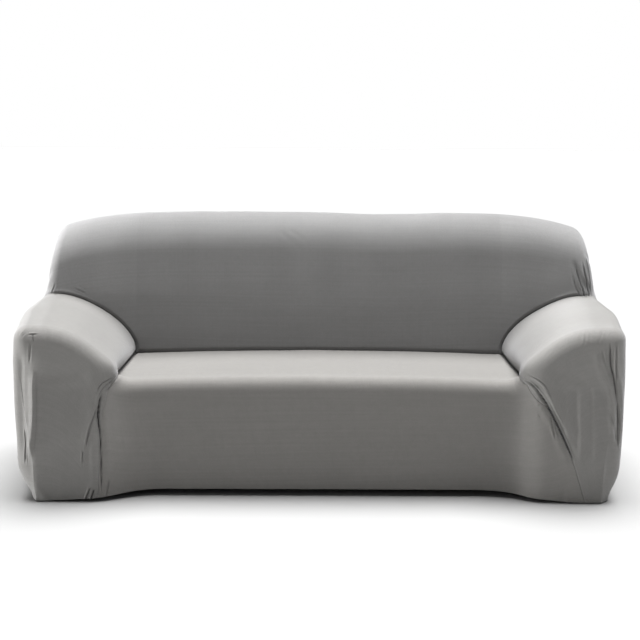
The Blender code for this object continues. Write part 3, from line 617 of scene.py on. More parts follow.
# Each fold's depth and half width in mm, the share of its banks, and the points of its path in mm.
FOLDS = {
    # The main folds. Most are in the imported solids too, a little deeper or wider there.
    "left seam pull": (8, 12, 0.3, (-760, 30, 425), (-773, 10, 386), (-782, 0, 310), (-779, 0, 20)),
    "left seam branch": (3, 10, 0.3, (-782, 0, 350), (-812, 0, 250), (-822, 0, 185)),
    "right seam pull": (7, 11, 0.4, (770, 30, 425), (810, 0, 367), (867, 0, 257), (913, 0, 154)),
    "left arm edge ridge": (-8.5, 11, 0, (-1019, 0, 490), (-1021, 0, 330), (-1032, 0, 140)),
    "left arm edge hollow": (1.4, 5, 0, (-1004, 0, 485), (-1006, 0, 300), (-1018, 0, 150)),
    "left arm edge slope": (21, 38, 0, (-1072, 0, 590), (-1072, 0, 400), (-1079, 0, 120)),
    "right arm outer fold": (
        7, 11, 0.4,
        (1030, 0, 585), (1036, 0, 500), (1052, 10, 420), (1064, 10, 340), (1066, 10, 200),
    ),
    "right arm middle fold": (3, 10, 0.3, (1000, 0, 560), (1012, 0, 500), (1040, 0, 420)),
    "right arm soft ridge": (-3, 18, 0, (940, 0, 440), (942, 0, 300), (950, 0, 150)),
    "right back pull": (5, 10, 0.3, (1020, 770, 790), (1045, 760, 730), (1085, 760, 665)),
    "right back outer pull": (4, 9, 0.25, (1062, 790, 820), (1078, 790, 750), (1105, 790, 670)),
    "left back pull": (3, 10, 0.3, (-1060, 770, 740), (-1080, 770, 700), (-1102, 780, 665)),
    # The narrow folds, which the solids lack. First those at the left front seam: a dark line and wedge,
    # a branch toward the arm, gathers above and a fan at the hem.
    "left seam line": (
        6, 2.6, 0.6,
        (-764, 30, 420), (-774, 10, 390), (-783, 0, 320), (-777, 0, 235), (-778, 0, 4),
    ),
    "left wedge": (6.5, 3, 0.4, (-770, 20, 400), (-781, 10, 345), (-788, 10, 255)),
    "left wedge inner": (4, 2.2, 0.3, (-776, 10, 368), (-784, 0, 325), (-791, 0, 275)),
    "left branch": (3.5, 2.6, 0.6, (-786, 0, 350), (-818, 0, 262), (-833, 0, 190)),
    "left branch second": (1.5, 2.2, 0.6, (-800, 0, 300), (-826, 0, 225)),
    "left branch end": (3, 2.2, 0.4, (-841, 0, 190), (-843, 0, 140)),
    "left gather low": (2.6, 2.2, 0.6, (-728, 70, 440), (-766, 20, 395)),
    "left gather mid": (3, 2.2, 0.6, (-740, 70, 455), (-774, 10, 402), (-782, 0, 374)),
    "left gather high": (2.4, 2.2, 0.6, (-752, 70, 468), (-782, 10, 418), (-790, 0, 384)),
    "left hem fan outer": (4.5, 2.6, 0.5, (-842, 0, -10), (-817, 0, 55)),
    "left hem fan middle": (6, 2.6, 0.5, (-822, 0, -10), (-804, 0, 50)),
    "left hem fan inner": (3, 2.6, 0.5, (-756, 20, 85), (-768, 20, 6)),
    "seat front crease": (1, 4, 0.4, (-612, 80, 115), (-614, 90, 18)),
    "seat front short crease": (0.8, 3.5, 0.4, (-633, 80, 118), (-634, 80, 70)),
    # On the left arm: a pinch under its top edge, the line below it and the flap beside that line.
    "pinch": (3, 2.8, 0.4, (-1016, 30, 603), (-1012, 10, 578)),
    "pinch bar": (2.6, 2.8, 0.6, (-1032, 30, 598), (-998, 30, 600)),
    "flap crest": (-5, 3.8, 0, (-1014, 0, 484), (-1015, 0, 380), (-1020, 0, 250)),
    "flap ridge": (-0.7, 5, 0, (-1028, 0, 420), (-1038, 0, 350), (-1048, 0, 290), (-1054, 0, 200)),
    "left edge line": (2, 3, 0.3, (-1022, 0, 580), (-1024, 0, 550), (-1028, 0, 500)),
    "left edge dark": (4.5, 3, 0.4, (-1067, 0, 262), (-1062, 0, 215), (-1051, 0, 135)),
    "left edge dark second": (1, 2.4, 0.4, (-1042, 0, 215), (-1038, 0, 130)),
    "left padding edge": (1.8, 17, 0.3, (-815, 0, 455), (-919, 0, 435), (-1000, 0, 420)),
    # At the right front seam: the long slanting line, its ridge, and wrinkles on both sides of it.
    "right slant": (
        8.5, 3, 0.6,
        (742, 70, 455), (762, 30, 436), (784, 10, 404), (818, 0, 352), (870, 0, 251), (917, 0, 145),
    ),
    "right slant ridge": (-2.6, 3.2, 0, (760, 40, 470), (805, 0, 420), (842, 0, 345), (885, 0, 262)),
    "right slant second": (2, 2.4, 0.5, (752, 50, 474), (800, 0, 434), (834, 0, 372)),
    "right seat wrinkle": (2.8, 2.6, 0.5, (783, 10, 395), (786, 10, 350), (790, 10, 300)),
    "right seat wrinkle short": (1.8, 2.4, 0.5, (797, 10, 375), (801, 10, 325)),
    "right wedge": (3, 2.6, 0.5, (824, 0, 335), (832, 0, 290), (846, 0, 235)),
    "right wedge short": (2.2, 2.4, 0.4, (838, 0, 308), (850, 0, 262), (862, 0, 232)),
    "right soft ridge inner": (-2.6, 11, 0, (880, 0, 440), (890, 0, 140)),
    "right soft ridge middle": (-2.4, 10, 0, (928, 0, 440), (936, 0, 140)),
    "right soft ridge outer": (-3, 11, 0, (978, 0, 440), (988, 0, 140)),
    # Down the right arm's outer edge.
    "right edge line": (
        5, 2.8, 0.5,
        (1032, 20, 592), (1035, 10, 516), (1050, 0, 453), (1060, 0, 405), (1066, 0, 365),
    ),
    "right edge second line": (3, 2.6, 0.5, (1054, 20, 585), (1057, 0, 500), (1060, 0, 430)),
    "right edge third line": (2, 2.6, 0.5, (1002, 10, 568), (1015, 0, 516), (1046, 0, 440)),
    "right edge dark": (4.5, 3, 0.5, (1067, 0, 385), (1074, 10, 280), (1073, 10, 190)),
    "right edge soft": (2, 5, 0.3, (1034, 0, 345), (1053, 0, 282), (1071, 10, 215)),
    "right padding edge": (2, 17, 0.3, (815, 0, 460), (910, 0, 438), (1020, 0, 424)),
    # Where the back meets the arms.
    "right back first": (4.5, 2.6, 0.6, (1030, 740, 775), (1050, 730, 704), (1078, 690, 648)),
    "right back second": (4.5, 2.6, 0.6, (1058, 750, 790), (1074, 740, 715), (1092, 700, 648)),
    "right back third": (3, 2.4, 0.6, (1018, 740, 745), (1036, 730, 680), (1062, 690, 648)),
    "right back fourth": (3, 2.4, 0.6, (1079, 760, 820), (1092, 740, 725), (1106, 710, 648)),
    "left back first": (2.4, 2.4, 0.5, (-1062, 730, 690), (-1086, 710, 648)),
    "left back second": (1.6, 2.4, 0.5, (-1046, 730, 676), (-1062, 680, 648)),
    "left back crinkle": (2, 2.8, 0.5, (-985, 730, 672), (-940, 730, 652)),
    "left back crinkle short": (1.4, 2.6, 0.5, (-970, 730, 682), (-935, 730, 664)),
    "back faint pull": (0.8, 8, 0.4, (-170, 780, 915), (-65, 760, 820)),
    "back second faint pull": (0.6, 8, 0.4, (-130, 780, 925), (-20, 760, 830)),
}
# Rows of short, nearly parallel wrinkles: how many there are, their depth and half width in mm, the first
# one's two ends in mm, and the step from each to the next.
STROKES = {
    "left arm's outer corner": (5, 1.6, 2.2, (-1082, 20, 588), (-1056, 50, 612), (10, 1, 3)),
    "right arm's front edge": (13, 0.7, 3, (810, 30, 530), (845, 70, 572), (16, 0, 4.4)),
    "left arm's front edge": (5, 0.6, 5, (-845, 30, 545), (-865, 70, 577), (-30, 0, 6)),
}
STROKE_SEED = 11
STROKE_SHIFT, STROKE_STRETCH, STROKE_DEPTHS = 0.35, 0.3, (0.2, 1.3)  # how uneven they are
STROKE_BANKS = 0.5
CREASE_DEPTH, CREASE_WIDTH = 0.011, 0.0050  # how the cloth is tucked in between the cushions
CREASE_END = 0.20  # the share of a crease's length over which it fades toward the front
FOLD_TAPER = 0.22  # the share of a fold's length over which each end fades
BANK_PLACE = 2.1  # a fold's banks lie this many times its width from its line
FOLD_REACH = 5  # and beyond this many times its width it moves nothing
PATH_STEP = 0.008
# A fold narrower and about as deep as this closes up over this share of its width, so little light gets in;
# there the base colour is darkened as painted shade.
SHADED_FOLD_WIDTH, SHADED_FOLD_DEPTH, SHADED_FOLD_SHARE = 0.008, 0.005, 0.65

SEAM_DEPTH, SEAM_WIDTH = 0.0006, 0.0030  # the groove along a sewn seam
PUCKER_DEPTH, PUCKER_STEP, PUCKER_REACH = 0.0005, 0.009, 0.012
GATHER_DEPTH, GATHER_STEP, GATHER_REACH = 0.0012, 0.016, 0.030  # the elastic gathers the hem
GATHER_LEAST, GATHER_GROUP = 0.35, 9  # more in some stretches of so many gathers than in others
GATHER_SEED, GROUP_SEED = 100, 200
HEM_END = 0.05  # the share of a hem's length over which its gathers start and end
RIPPLE_HEIGHTS = 1000
HEM_BAND, HEM_STITCH_DEPTH, HEM_STITCH_WIDTH = 0.016, 0.0005, 0.0016
UNEVEN_DEPTH, UNEVEN_WAVES, UNEVEN_SEED = 0.0007, 7, 5
UNEVEN_SHORT, UNEVEN_LONG = 0.14, 0.42


def all_folds():
    """Every fold, and each row's wrinkles with uneven steps, lengths and depths."""
    for depth, width, banks, *path in FOLDS.values():
        yield Fold(depth / 1000, width / 1000, banks, np.array(path) / 1000)
    chance = np.random.default_rng(STROKE_SEED)
    for count, depth, width, *ends_and_step in STROKES.values():
        start, end, step = np.array(ends_and_step) / 1000
        for k in range(count):
            shift = (k + chance.uniform(-STROKE_SHIFT, STROKE_SHIFT)) * step
            first, last = chance.uniform(-STROKE_STRETCH, STROKE_STRETCH, 2)[:, None] * (end - start)
            path = np.stack([start + shift + first, end + shift + last])
            yield Fold(depth / 1000 * chance.uniform(*STROKE_DEPTHS), width / 1000, STROKE_BANKS, path)


def close_by(points, path, reach):
    """Which points lie within reach of the box round a path."""
    low, high = path.min(0) - reach, path.max(0) + reach
    return np.nonzero(((points > low) & (points < high)).all(1))[0]


def ripple(s, step, seed):
    """Uneven waves along a line, between -1 and 1, with a new height at each step."""
    heights = np.random.default_rng(seed).uniform(-1, 1, RIPPLE_HEIGHTS)
    k = np.floor(s / step).astype(int)
    t = ramp(s / step - k, 0, 1)
    return heights[k] * (1 - t) + heights[k + 1] * t


def smooth_path(path):
    """A fold's path as a smooth line on the form."""
    length = steps_along(path).sum()
    stations = np.linspace(0, 1, math.ceil(length / PATH_STEP) + 1)
    return settle(through(path[:, None], Family(fractions(path), stations))[:, 0])


def beside(points, lines, reach):
    """For each line, which points lie near it, their distance from it, and where along it they are."""
    for path in lines:
        near = close_by(points, path, FOLD_REACH * reach)
        yield near, *lateral(points[near], path)


def fading(fraction, share):
    """1 along a line, and fading to 0 over a share of its length at both ends."""
    return ramp(fraction, 0, share) * ramp(1 - fraction, 0, share)


def fold_push(points):
    """How far each point moves out of the form by the folds, and how much painted shade darkens the colour
    there, where a fold is narrow and deep.
    """
    push = np.zeros(len(points))
    painted_shade = np.zeros(len(points))
    for fold in all_folds():
        for near, distance, fraction in beside(points, [smooth_path(fold.path)], fold.width):
            fade = fading(fraction, FOLD_TAPER)
            q = distance / fold.width
            push[near] -= fold.depth * fade * (bell(q, 1) - fold.banks * bell(q - BANK_PLACE, 1))
            # Narrow, deep folds also get painted shade in the base colour.
            if fold.width < SHADED_FOLD_WIDTH and fold.depth > 0:
                fold_shade = min(fold.depth / SHADED_FOLD_DEPTH, 1) * fade * bell(q, SHADED_FOLD_SHARE)
                painted_shade[near] = np.maximum(painted_shade[near], fold_shade)
    return push, painted_shade


def crease_share(points, creases):
    """How far down a tucked crease each point lies, 0 to 1. Where two meet, the deeper one counts."""
    share = np.zeros(len(points))
    for end, paths in creases.items():
        for near, distance, fraction in beside(points, paths, CREASE_WIDTH):
            fade = ramp(1 - fraction, 0, end) if end else 1
            share[near] = np.maximum(share[near], fade * bell(distance, CREASE_WIDTH))
    return share


def push_by(points, lines, reach, move):
    """How far the lines' own move pushes each point, and its distance from the nearest line."""
    push = np.zeros(len(points))
    nearest = np.full(len(points), 1.0)
    for seed, (near, distance, fraction) in enumerate(beside(points, lines, reach)):
        push[near] += move(distance, fraction, steps_along(lines[seed]).sum(), seed)
        nearest[near] = np.minimum(nearest[near], distance)
    return push, nearest


def seam_move(distance, fraction, length, seed):
    """The groove and the puckers along a seam."""
    pucker = PUCKER_DEPTH * ripple(fraction * length, PUCKER_STEP, seed) * bell(distance, PUCKER_REACH)
    return pucker - SEAM_DEPTH * bell(distance, SEAM_WIDTH)


def hem_move(distance, fraction, length, seed):
    """The gathers and the stitched band along the hem."""
    s = fraction * length
    group = np.abs(ripple(s, GATHER_GROUP * GATHER_STEP, seed + GROUP_SEED))
    strength = GATHER_DEPTH * (GATHER_LEAST + (1 - GATHER_LEAST) * group)
    gather = strength * ripple(s, GATHER_STEP, seed + GATHER_SEED) * np.exp(-distance / GATHER_REACH)
    stitch = HEM_STITCH_DEPTH * bell(distance - HEM_BAND, HEM_STITCH_WIDTH)
    return fading(fraction, HEM_END) * gather - stitch


def uneven_push(points):
    """Broad, slight unevenness, as padding under stretched cloth gives."""
    chance = np.random.default_rng(UNEVEN_SEED)
    push = np.zeros(len(points))
    for _ in range(UNEVEN_WAVES):
        way = unit(chance.normal(size=3))
        wave = chance.uniform(UNEVEN_SHORT, UNEVEN_LONG)
        push += np.sin(2 * math.pi * (points @ way / wave + chance.uniform()))
    return push * UNEVEN_DEPTH / math.sqrt(UNEVEN_WAVES)


# ---- panels as sheets


def cells_of(rows, columns):
    """Corner indices of each cell of a grid."""
    i, j = np.meshgrid(np.arange(rows - 1), np.arange(columns - 1), indexing="ij")
    first = (i * columns + j).ravel()
    return np.stack([first, first + 1, first + columns + 1, first + columns], -1)


def unrolled(grid, above):
    """How far each point lies along its row, from the sofa's middle or the row's start, and down its
    column: on from above where it goes on, and else up to its end, so that the knit's rows run level."""
    along_row = np.cumsum(np.linalg.norm(np.diff(grid, axis=1, prepend=grid[:, :1]), axis=-1), axis=1)
    down = np.cumsum(np.linalg.norm(np.diff(grid, axis=0, prepend=grid[:1]), axis=-1), axis=0)
    if grid[0, 0, 0] < 0 < grid[0, -1, 0]:
        middle = np.abs(grid[0, :, 0]).argmin()
        along_row -= along_row[:, middle : middle + 1]
    return np.stack([along_row, down - down[-1] if above is None else down + above], -1)


def joined_patches(patches):
    """A panel's settled points, its faces, and its faces' corners on the unrolled cloth."""
    points, faces, corners, offset = [], [], [], 0
    flat = None
    for patch in patches:
        grid = refined(patch.grid, patch.rows).transpose(1, 0, 2)
        grid = refined(grid, patch.columns).transpose(1, 0, 2)
        grid = settle(grid)
        flat = unrolled(grid, flat[-1, :, 1] if patch.goes_on else None)
        base = grid.reshape(-1, 3)
        cells = cells_of(*grid.shape[:2])
        a, b, c, d = (base[cells[:, k]] for k in range(4))
        if (np.cross(c - a, d - b) * slope(a)).sum() < 0:
            cells = cells[:, ::-1]
        points.append(base)
        faces.append(cells + offset)
        corners.append(flat.reshape(-1, 2)[cells])
        offset += len(base)
    points, faces = np.concatenate(points), np.concatenate(faces)
    _, first, index = np.unique(np.round(points / WELD), axis=0, return_index=True, return_inverse=True)
    return points[first], index.reshape(-1)[faces], np.concatenate(corners)


def vertex_normals(points, faces):
    a, b, c, d = (points[faces[:, k]] for k in range(4))
    across = np.cross(c - a, d - b)
    total = np.zeros_like(points)
    for k in range(4):
        np.add.at(total, faces[:, k], across)
    return unit(total)


def open_edges(faces):
    """The ends of each edge that only one face has, in its direction, and the corner it starts at."""
    a, b = faces.ravel(), np.roll(faces, -1, axis=1).ravel()
    count = faces.max() + 1
    forward, backward = a * count + b, b * count + a
    alone = np.nonzero(~np.isin(forward, backward))[0]
    return a[alone], b[alone], alone


KNIT_MAP = "knit"


def add_object(name, data):
    added = bpy.data.objects.new(name, data)
    bpy.context.scene.collection.objects.link(added)
    return added


def place(points):
    """Points in the frame's own axes."""
    return points - ORIGIN


def sheet(name, faces, corners, outer, inner, attributes, material):
    """One closed sheet: faces on its outer side, the same on its inner side, and a strip round its edge."""
    count = len(outer)
    a, b, where = open_edges(faces)
    strip = np.stack([b, a, a + count, b + count], -1)
    all_faces = np.concatenate([faces, faces[:, ::-1] + count, strip])
    on_edge = corners.reshape(-1, 2)
    ends = np.stack([np.roll(corners, -1, axis=1).reshape(-1, 2)[where], on_edge[where]], 1)
    on_cloth = np.concatenate([corners, corners[:, ::-1], np.concatenate([ends, ends[:, ::-1]], 1)])
    mesh = bpy.data.meshes.new(name)
    mesh.from_pydata(place(np.concatenate([outer, inner])).tolist(), [], all_faces.tolist())
    mesh.uv_layers.new(name=KNIT_MAP).uv.foreach_set("vector", on_cloth.astype(np.float32).ravel())
    for label, values in attributes.items():
        layer = mesh.attributes.new(label, "FLOAT", "POINT")
        layer.data.foreach_set("value", np.concatenate([values, values]).astype(np.float32))
    mesh.materials.append(material)
    mesh.shade_smooth()
    mesh.attributes.new("sharp_face", "BOOLEAN", "FACE")
    mesh.attributes["sharp_face"].data.foreach_set("value", np.arange(len(all_faces)) >= 2 * len(faces))
    return add_object(name, mesh)


# ---- the jersey


class Graph:
    """Adds shader nodes to a node tree and links them."""

    def __init__(self, tree):
        self.tree = tree

    def add(self, kind, inputs=None, **settings):
        node = self.tree.nodes.new(kind)
        for name, value in settings.items():
            setattr(node, name, value)
        for name, value in (inputs or {}).items():
            if isinstance(value, bpy.types.NodeSocket):
                self.tree.links.new(value, node.inputs[name])
            else:
                node.inputs[name].default_value = value
        return node

    def math(self, operation, *values):
        return self.add("ShaderNodeMath", dict(enumerate(values)), operation=operation).outputs[0]

    def noise(self, place, scale, detail=2.0):
        node = self.add("ShaderNodeTexNoise", {"Vector": place, "Scale": scale, "Detail": detail})
        return node.outputs[0]

    def stretched(self, place, scale):
        inputs = {0: place, 1: scale}
        return self.add("ShaderNodeVectorMath", inputs, operation="MULTIPLY").outputs[0]

    def between(self, value, low, high, start, end):
        """start where the value is low, end where it is high, and a smooth change between."""
        inputs = {"Value": value, "From Min": low, "From Max": high, "To Min": start, "To Max": end}
        return self.add("ShaderNodeMapRange", inputs, interpolation_type="SMOOTHSTEP").outputs[0]

    def about(self, value, amount):
        """A noise value as a factor near 1, up to amount above and below it."""
        return self.math("MULTIPLY_ADD", value, 2 * amount, 1 - amount)


WALE, COURSE = 0.00125, 0.00095  # one column and one row of the knit's loops
LOOP_SLANT = 0.9
LOOP_HEIGHT = 0.00016
ROW_SHARE = 0.45  # how much of a loop's height its row gives it
WANDER, WAVER = (90.0, 0.0012), (130.0, 0.0010)  # how columns and rows stray: noise scale, and how far
PATCHES = (  # noise scale in cycles per metre, and how far it changes the tone
    (2.2, 0.030),
    (9.0, 0.022),
    (45.0, 0.040),
    (230.0, 0.080),
)
STRIPES, STRIPE_TONE = (2.0, 130.0, 0.0), 0.050  # faint rows, from uneven yarn
WARP, WARP_TONE = (220.0, 3.0, 0.0), 0.022
# Painted shade: the base colour's factor in the furrows between the knit's loops.
FURROW_SHADE_TONE = 0.86
SEAM_TONE, SEAM_DARK = 0.96, 0.0030
# Painted shade: the base colour's factor deep in narrow folds and tucked creases.
PAINTED_SHADE_TONE = 0.30
# Painted shade in a tucked crease follows its depth share to this power.
CREASE_SHADE_POWER = 3  # a crease is dark only deep down
STITCH_ROWS, STITCH_STEP, STITCH_HALF = (0.014, 0.019), 0.0032, 0.0007
STITCH_GAP = (-0.7, -0.2)  # there is no thread where a wave along the hem is lower than this
THREAD_TONE, THREAD_HEIGHT = 0.90, 1.2  # the hem's stitches, with a loop's height as 1
WORN_TONE = 1.05  # fuzz catches more light where arms and legs rub
SURFACE = {
    "Specular IOR Level": 0.35,
    "Sheen Weight": 0.30,
    "Sheen Roughness": 0.45,
    "Sheen Tint": (0.95, 0.95, 1.0, 1),
}
BUMP = 0.7
ROUGH_SCALE, ROUGH_NOISE, ROUGHNESS = 30.0, (0.3, 0.7), (0.82, 0.92)


def new_material(name):
    """A material with its shader's inputs."""
    material = bpy.data.materials.new(name)
    material.use_nodes = True
    return material, material.node_tree.nodes["Principled BSDF"].inputs


def set_values(inputs, values):
    for name, value in values.items():
        inputs[name].default_value = value


def knit_height(g, place, across, down):
    """The loops' height, 0 to 1: two slanted legs to a loop, in columns and rows."""
    across = g.math("MULTIPLY_ADD", g.noise(place, WANDER[0]), WANDER[1], across)
    down = g.math("MULTIPLY_ADD", g.noise(place, WAVER[0]), WAVER[1], down)
    leg = g.math("MULTIPLY", g.math("PINGPONG", g.math("DIVIDE", across, WALE), 0.5), 2.0)
    ridge = g.math("SINE", g.math("MULTIPLY", leg, math.pi))
    turns = g.math("MULTIPLY_ADD", leg, LOOP_SLANT, g.math("DIVIDE", down, COURSE))
    row = g.math("MULTIPLY_ADD", g.math("SINE", g.math("MULTIPLY", turns, 2 * math.pi)), 0.5, 0.5)
    return g.math("MULTIPLY", ridge, g.math("MULTIPLY_ADD", row, ROW_SHARE, 1 - ROW_SHARE))


def stitches(g, hem, across):
    """0 to 1 on the two rows of stitches above the hem."""
    dash = g.math("SINE", g.math("MULTIPLY", across, 2 * math.pi / STITCH_STEP))
    dash = g.between(dash, *STITCH_GAP, 0.0, 1.0)
    rows = 0.0
    for height in STITCH_ROWS:
        away = g.math("ABSOLUTE", g.math("SUBTRACT", hem, height))
        rows = g.math("ADD", rows, g.between(away, 0.5 * STITCH_HALF, 1.5 * STITCH_HALF, 1.0, 0.0))
    return g.math("MULTIPLY", rows, dash)


def jersey(name, color):
    """Fine matte knit: loops, uneven yarn, darker seams, a stitched hem and a soft sheen, with painted shade
    in the furrows between loops and in narrow folds and tucked creases.
    """
    material, inputs = new_material(name)
    g = Graph(material.node_tree)
    place = g.add("ShaderNodeUVMap", uv_map=KNIT_MAP).outputs[0]
    space = g.add("ShaderNodeTexCoord").outputs["Object"]
    parts = g.add("ShaderNodeSeparateXYZ", {0: place})
    across, down = parts.outputs[0], parts.outputs[1]
    seam, hem, worn, painted_shade = (
        g.add("ShaderNodeAttribute", attribute_name=label).outputs["Fac"]
        for label in ("seam", "hem", "worn", "painted_shade")
    )
    height = knit_height(g, place, across, down)
    thread = stitches(g, hem, across)

    factors = [g.about(g.noise(space, scale), amount) for scale, amount in PATCHES]
    for scale, amount in ((STRIPES, STRIPE_TONE), (WARP, WARP_TONE)):
        factors.append(g.about(g.noise(g.stretched(place, scale), 1.0, 0.0), amount))
    factors += [
        g.between(seam, 0.0, SEAM_DARK, SEAM_TONE, 1.0),
        g.math("MULTIPLY_ADD", thread, THREAD_TONE - 1.0, 1.0),
        g.between(worn, 0.0, 1.0, 1.0, WORN_TONE),
        # painted shade in narrow folds and tucked creases
        g.between(painted_shade, 0.0, 1.0, 1.0, PAINTED_SHADE_TONE),
    ]
    # painted shade in the furrows between the loops
    tone = g.math("MULTIPLY_ADD", height, 1 - FURROW_SHADE_TONE, FURROW_SHADE_TONE)
    for factor in factors:
        tone = g.math("MULTIPLY", tone, factor)
    toned = g.add("ShaderNodeVectorMath", {0: color, "Scale": tone}, operation="SCALE")
    relief = g.math("MULTIPLY_ADD", thread, THREAD_HEIGHT, height)
    bump = g.add("ShaderNodeBump", {"Strength": BUMP, "Distance": LOOP_HEIGHT, "Height": relief})
    rough = g.between(g.noise(space, ROUGH_SCALE), *ROUGH_NOISE, *ROUGHNESS)
    g.tree.links.new(toned.outputs[0], inputs["Base Color"])
    g.tree.links.new(bump.outputs[0], inputs["Normal"])
    g.tree.links.new(rough, inputs["Roughness"])
    set_values(inputs, SURFACE)
    return material


# ---- all panels


# The seams beside each arm, with the family that each line belongs to.
SIDE_SEAMS = {
    "seat_crease": DEPTH_LINES,
    "front_seam": DROP_LINES,
    "arm_back": ARM_LINES,
    "side_step": TOP_LINES,
    "rear_upper": RISE_LINES,
    "rear_lower": DROP_LINES,
}


def seam_lines(left, right, middle):
    lines = [finer_line(middle["crease"], ACROSS_LINES), finer_line(middle["back_top_rear"], *WHOLE_WIDTH)]
    for half in (left, right):
        lines += [finer_line(half[name], family) for name, family in SIDE_SEAMS.items()]
    return lines


def hem_lines(left, right, middle):
    lines = [finer_line(middle["front_hem"], ACROSS_LINES), finer_line(middle["rear_hem"], *WHOLE_WIDTH)]
    for half in (left, right):
        lines.append(finer_line(half["arm_hem"], ARM_LINES))
        lines.append(finer_line(half["side_hem"], DEPTH_LINES.flipped(), TOP_LINES))
    return lines


def crease_lines(left, right, middle):
    """The tucked creases, listed by the share of their length over which they fade toward the front."""
    names = ("seat_crease", "arm_back")
    by_arms = [finer_line(half[name], SIDE_SEAMS[name]) for half in (left, right) for name in names]
    return {0: [finer_line(middle["crease"], ACROSS_LINES)], CREASE_END: by_arms}


WORN_EDGE_Y, WORN_EDGE_WIDTH, WORN_EDGE_Z = SEAT_FRONT_Y + 0.03, 0.05, (0.36, 0.42)
WORN_CREST_Z = (0.58, 0.64)


def worn_share(points):
    """1 on the seat's front edge and the arms' crests, where the cover is rubbed most, and 0 elsewhere."""
    x, y, z = points.T
    edge = bell(y - WORN_EDGE_Y, WORN_EDGE_WIDTH) * ramp(z, *WORN_EDGE_Z)
    crest = ramp(z, *WORN_CREST_Z) * (np.abs(x) > ARM_INNER_REAR_X)
    return np.clip(edge + crest, 0, 1)


class Cut(NamedTuple):
    """A panel's colour, and its width, length and area as it is cut, before it is stretched; nothing here uses
    the width, length and area.
    """

    color: tuple
    flat: tuple
    area: float


ARM_COLOR = (0.2445, 0.239, 0.2285)
# The inside back panel is a lighter copy of the same knit: its higher tone is painted light that brightens the
# back.
CUTS = {
    "inside_back_panel": Cut((0.270, 0.268, 0.2665), (2.10, 0.72), 1.17),
    "seat_front_panel": Cut((0.246, 0.238, 0.2255), (1.75, 0.98), 1.40),
    "left_arm_panel": Cut(ARM_COLOR, (1.25, 1.08), 0.95),
    "right_arm_panel": Cut(ARM_COLOR, (1.25, 1.08), 0.93),
    "outside_back_panel": Cut((0.241, 0.238, 0.235), (2.12, 0.92), 1.82),
}


def dress():
    """Makes the five panels, attaches each to the root body and hides the imported panel that it replaces."""
    seams, hems, creases = seam_lines(*LINES), hem_lines(*LINES), crease_lines(*LINES)
    for name, patches in panel_patches(*LINES).items():
        cut = CUTS[name]
        base, faces, corners = joined_patches(patches)
        by_seams, seam = push_by(base, seams, PUCKER_REACH, seam_move)
        by_hems, hem = push_by(base, hems, GATHER_REACH, hem_move)
        by_folds, painted_shade = fold_push(base)
        tucked = crease_share(base, creases)
        # Painted shade also deep down in the tucked creases.
        painted_shade = np.maximum(painted_shade, tucked**CREASE_SHADE_POWER)
        push = by_folds - CREASE_DEPTH * tucked + by_seams + by_hems + uneven_push(base)
        outer = base + push[:, None] * unit(slope(base))
        inner = outer - CLOTH * vertex_normals(outer, faces)
        attributes = {"seam": seam, "hem": hem, "worn": worn_share(base), "painted_shade": painted_shade}
        material = jersey(f"{name}_jersey", cut.color)
        piece = sheet(name.replace("panel", "jersey"), faces, corners, outer, inner, attributes, material)
        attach(piece, "root")
        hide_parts(name)


# ---- floor, light and camera


IMAGE = 640
FOCAL_PX = 1437
SENSOR = 36.0
CAMERA_DOWN = math.radians(9.1)
CAMERA_ROLL = math.radians(0.25)
CAMERA_PLACE = (0, -5.0, 1.465)
MIDDLE_PX = 319
FLOOR_HALF, FLOOR_TONE, FLOOR_GAP = 30.0, 0.41, 0.002
AMBIENT = 0.02


class Sun(NamedTuple):
    name: str
    toward: tuple
    strength: float
    angle: float


SUNS = (
    Sun("top softbox", (0.08, 0.24, 1.0), 7.8, 50.0),
    Sun("left strip", (-1.0, 0.0, 0.0), 7.8, 8.0),
    Sun("front fill", (-0.7, -1.0, 0.3), 0.40, 60.0),
    Sun("right softbox", (1.0, 0.0, 0.25), 0.5, 40.0),
)


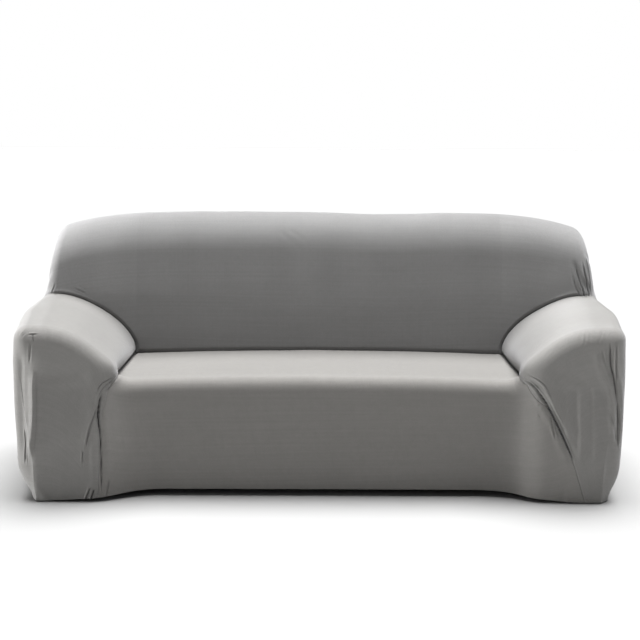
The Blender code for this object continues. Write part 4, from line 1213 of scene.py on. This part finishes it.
def set_stage():
    low = place(np.array([0, 0, -FLOOR_GAP]))[2]
    corners = [(x * FLOOR_HALF, y * FLOOR_HALF, low) for x, y in ((-1, -1), (1, -1), (1, 1), (-1, 1))]
    mesh = bpy.data.meshes.new("floor")
    mesh.from_pydata(corners, [], [(0, 1, 2, 3)])
    material, inputs = new_material("pale floor")
    tone = (FLOOR_TONE, FLOOR_TONE, FLOOR_TONE, 1)
    set_values(inputs, {"Base Color": tone, "Roughness": 1.0, "Specular IOR Level": 0.0})
    mesh.materials.append(material)
    floor = add_object("floor", mesh)


def set_light():
    world = bpy.data.worlds.new("pale studio")
    world.use_nodes = True
    g = Graph(world.node_tree)
    g.tree.nodes.clear()
    dim = g.add("ShaderNodeBackground", {"Color": (1, 1, 1, 1), "Strength": AMBIENT}).outputs[0]
    white = g.add("ShaderNodeBackground", {"Color": (1, 1, 1, 1), "Strength": 1.0}).outputs[0]
    seen = g.add("ShaderNodeLightPath").outputs["Is Camera Ray"]
    mix = g.add("ShaderNodeMixShader", {0: seen, 1: dim, 2: white}).outputs[0]
    g.add("ShaderNodeOutputWorld", {"Surface": mix})
    bpy.context.scene.world = world
    for sun in SUNS:
        light = bpy.data.lights.new(sun.name, "SUN")
        light.energy = sun.strength
        light.angle = math.radians(sun.angle)
        lamp = add_object(sun.name, light)
        lamp.rotation_mode = "QUATERNION"
        lamp.rotation_quaternion = Vector(sun.toward).to_track_quat("Z", "Y")


def set_camera():
    data = bpy.data.cameras.new("camera")
    data.sensor_width = SENSOR
    data.lens = SENSOR * FOCAL_PX / IMAGE
    data.shift_x = (IMAGE / 2 - MIDDLE_PX) / IMAGE
    camera = add_object("camera", data)
    view = Vector((0, math.cos(CAMERA_DOWN), -math.sin(CAMERA_DOWN)))
    camera.rotation_mode = "QUATERNION"
    camera.rotation_quaternion = view.to_track_quat("-Z", "Y") @ Quaternion((0, 0, 1), CAMERA_ROLL)
    camera.location = place(np.array(CAMERA_PLACE))
    bpy.context.scene.camera = camera
    bpy.context.scene.view_settings.view_transform = "Standard"


LEFT, RIGHT = side_lines(-1, LEFT_SEAM), side_lines(1, RIGHT_SEAM)
LINES = (LEFT, RIGHT, cross_lines(LEFT, RIGHT))
ON_TOP = settle(np.array([0, MOUNT_Y, BACK_TOP_Z]))
ORIGIN = (ON_TOP - SOLID_CLOTH * unit(slope(ON_TOP))) * (0, 1, 1)

dress()
set_stage()
set_light()
set_camera()
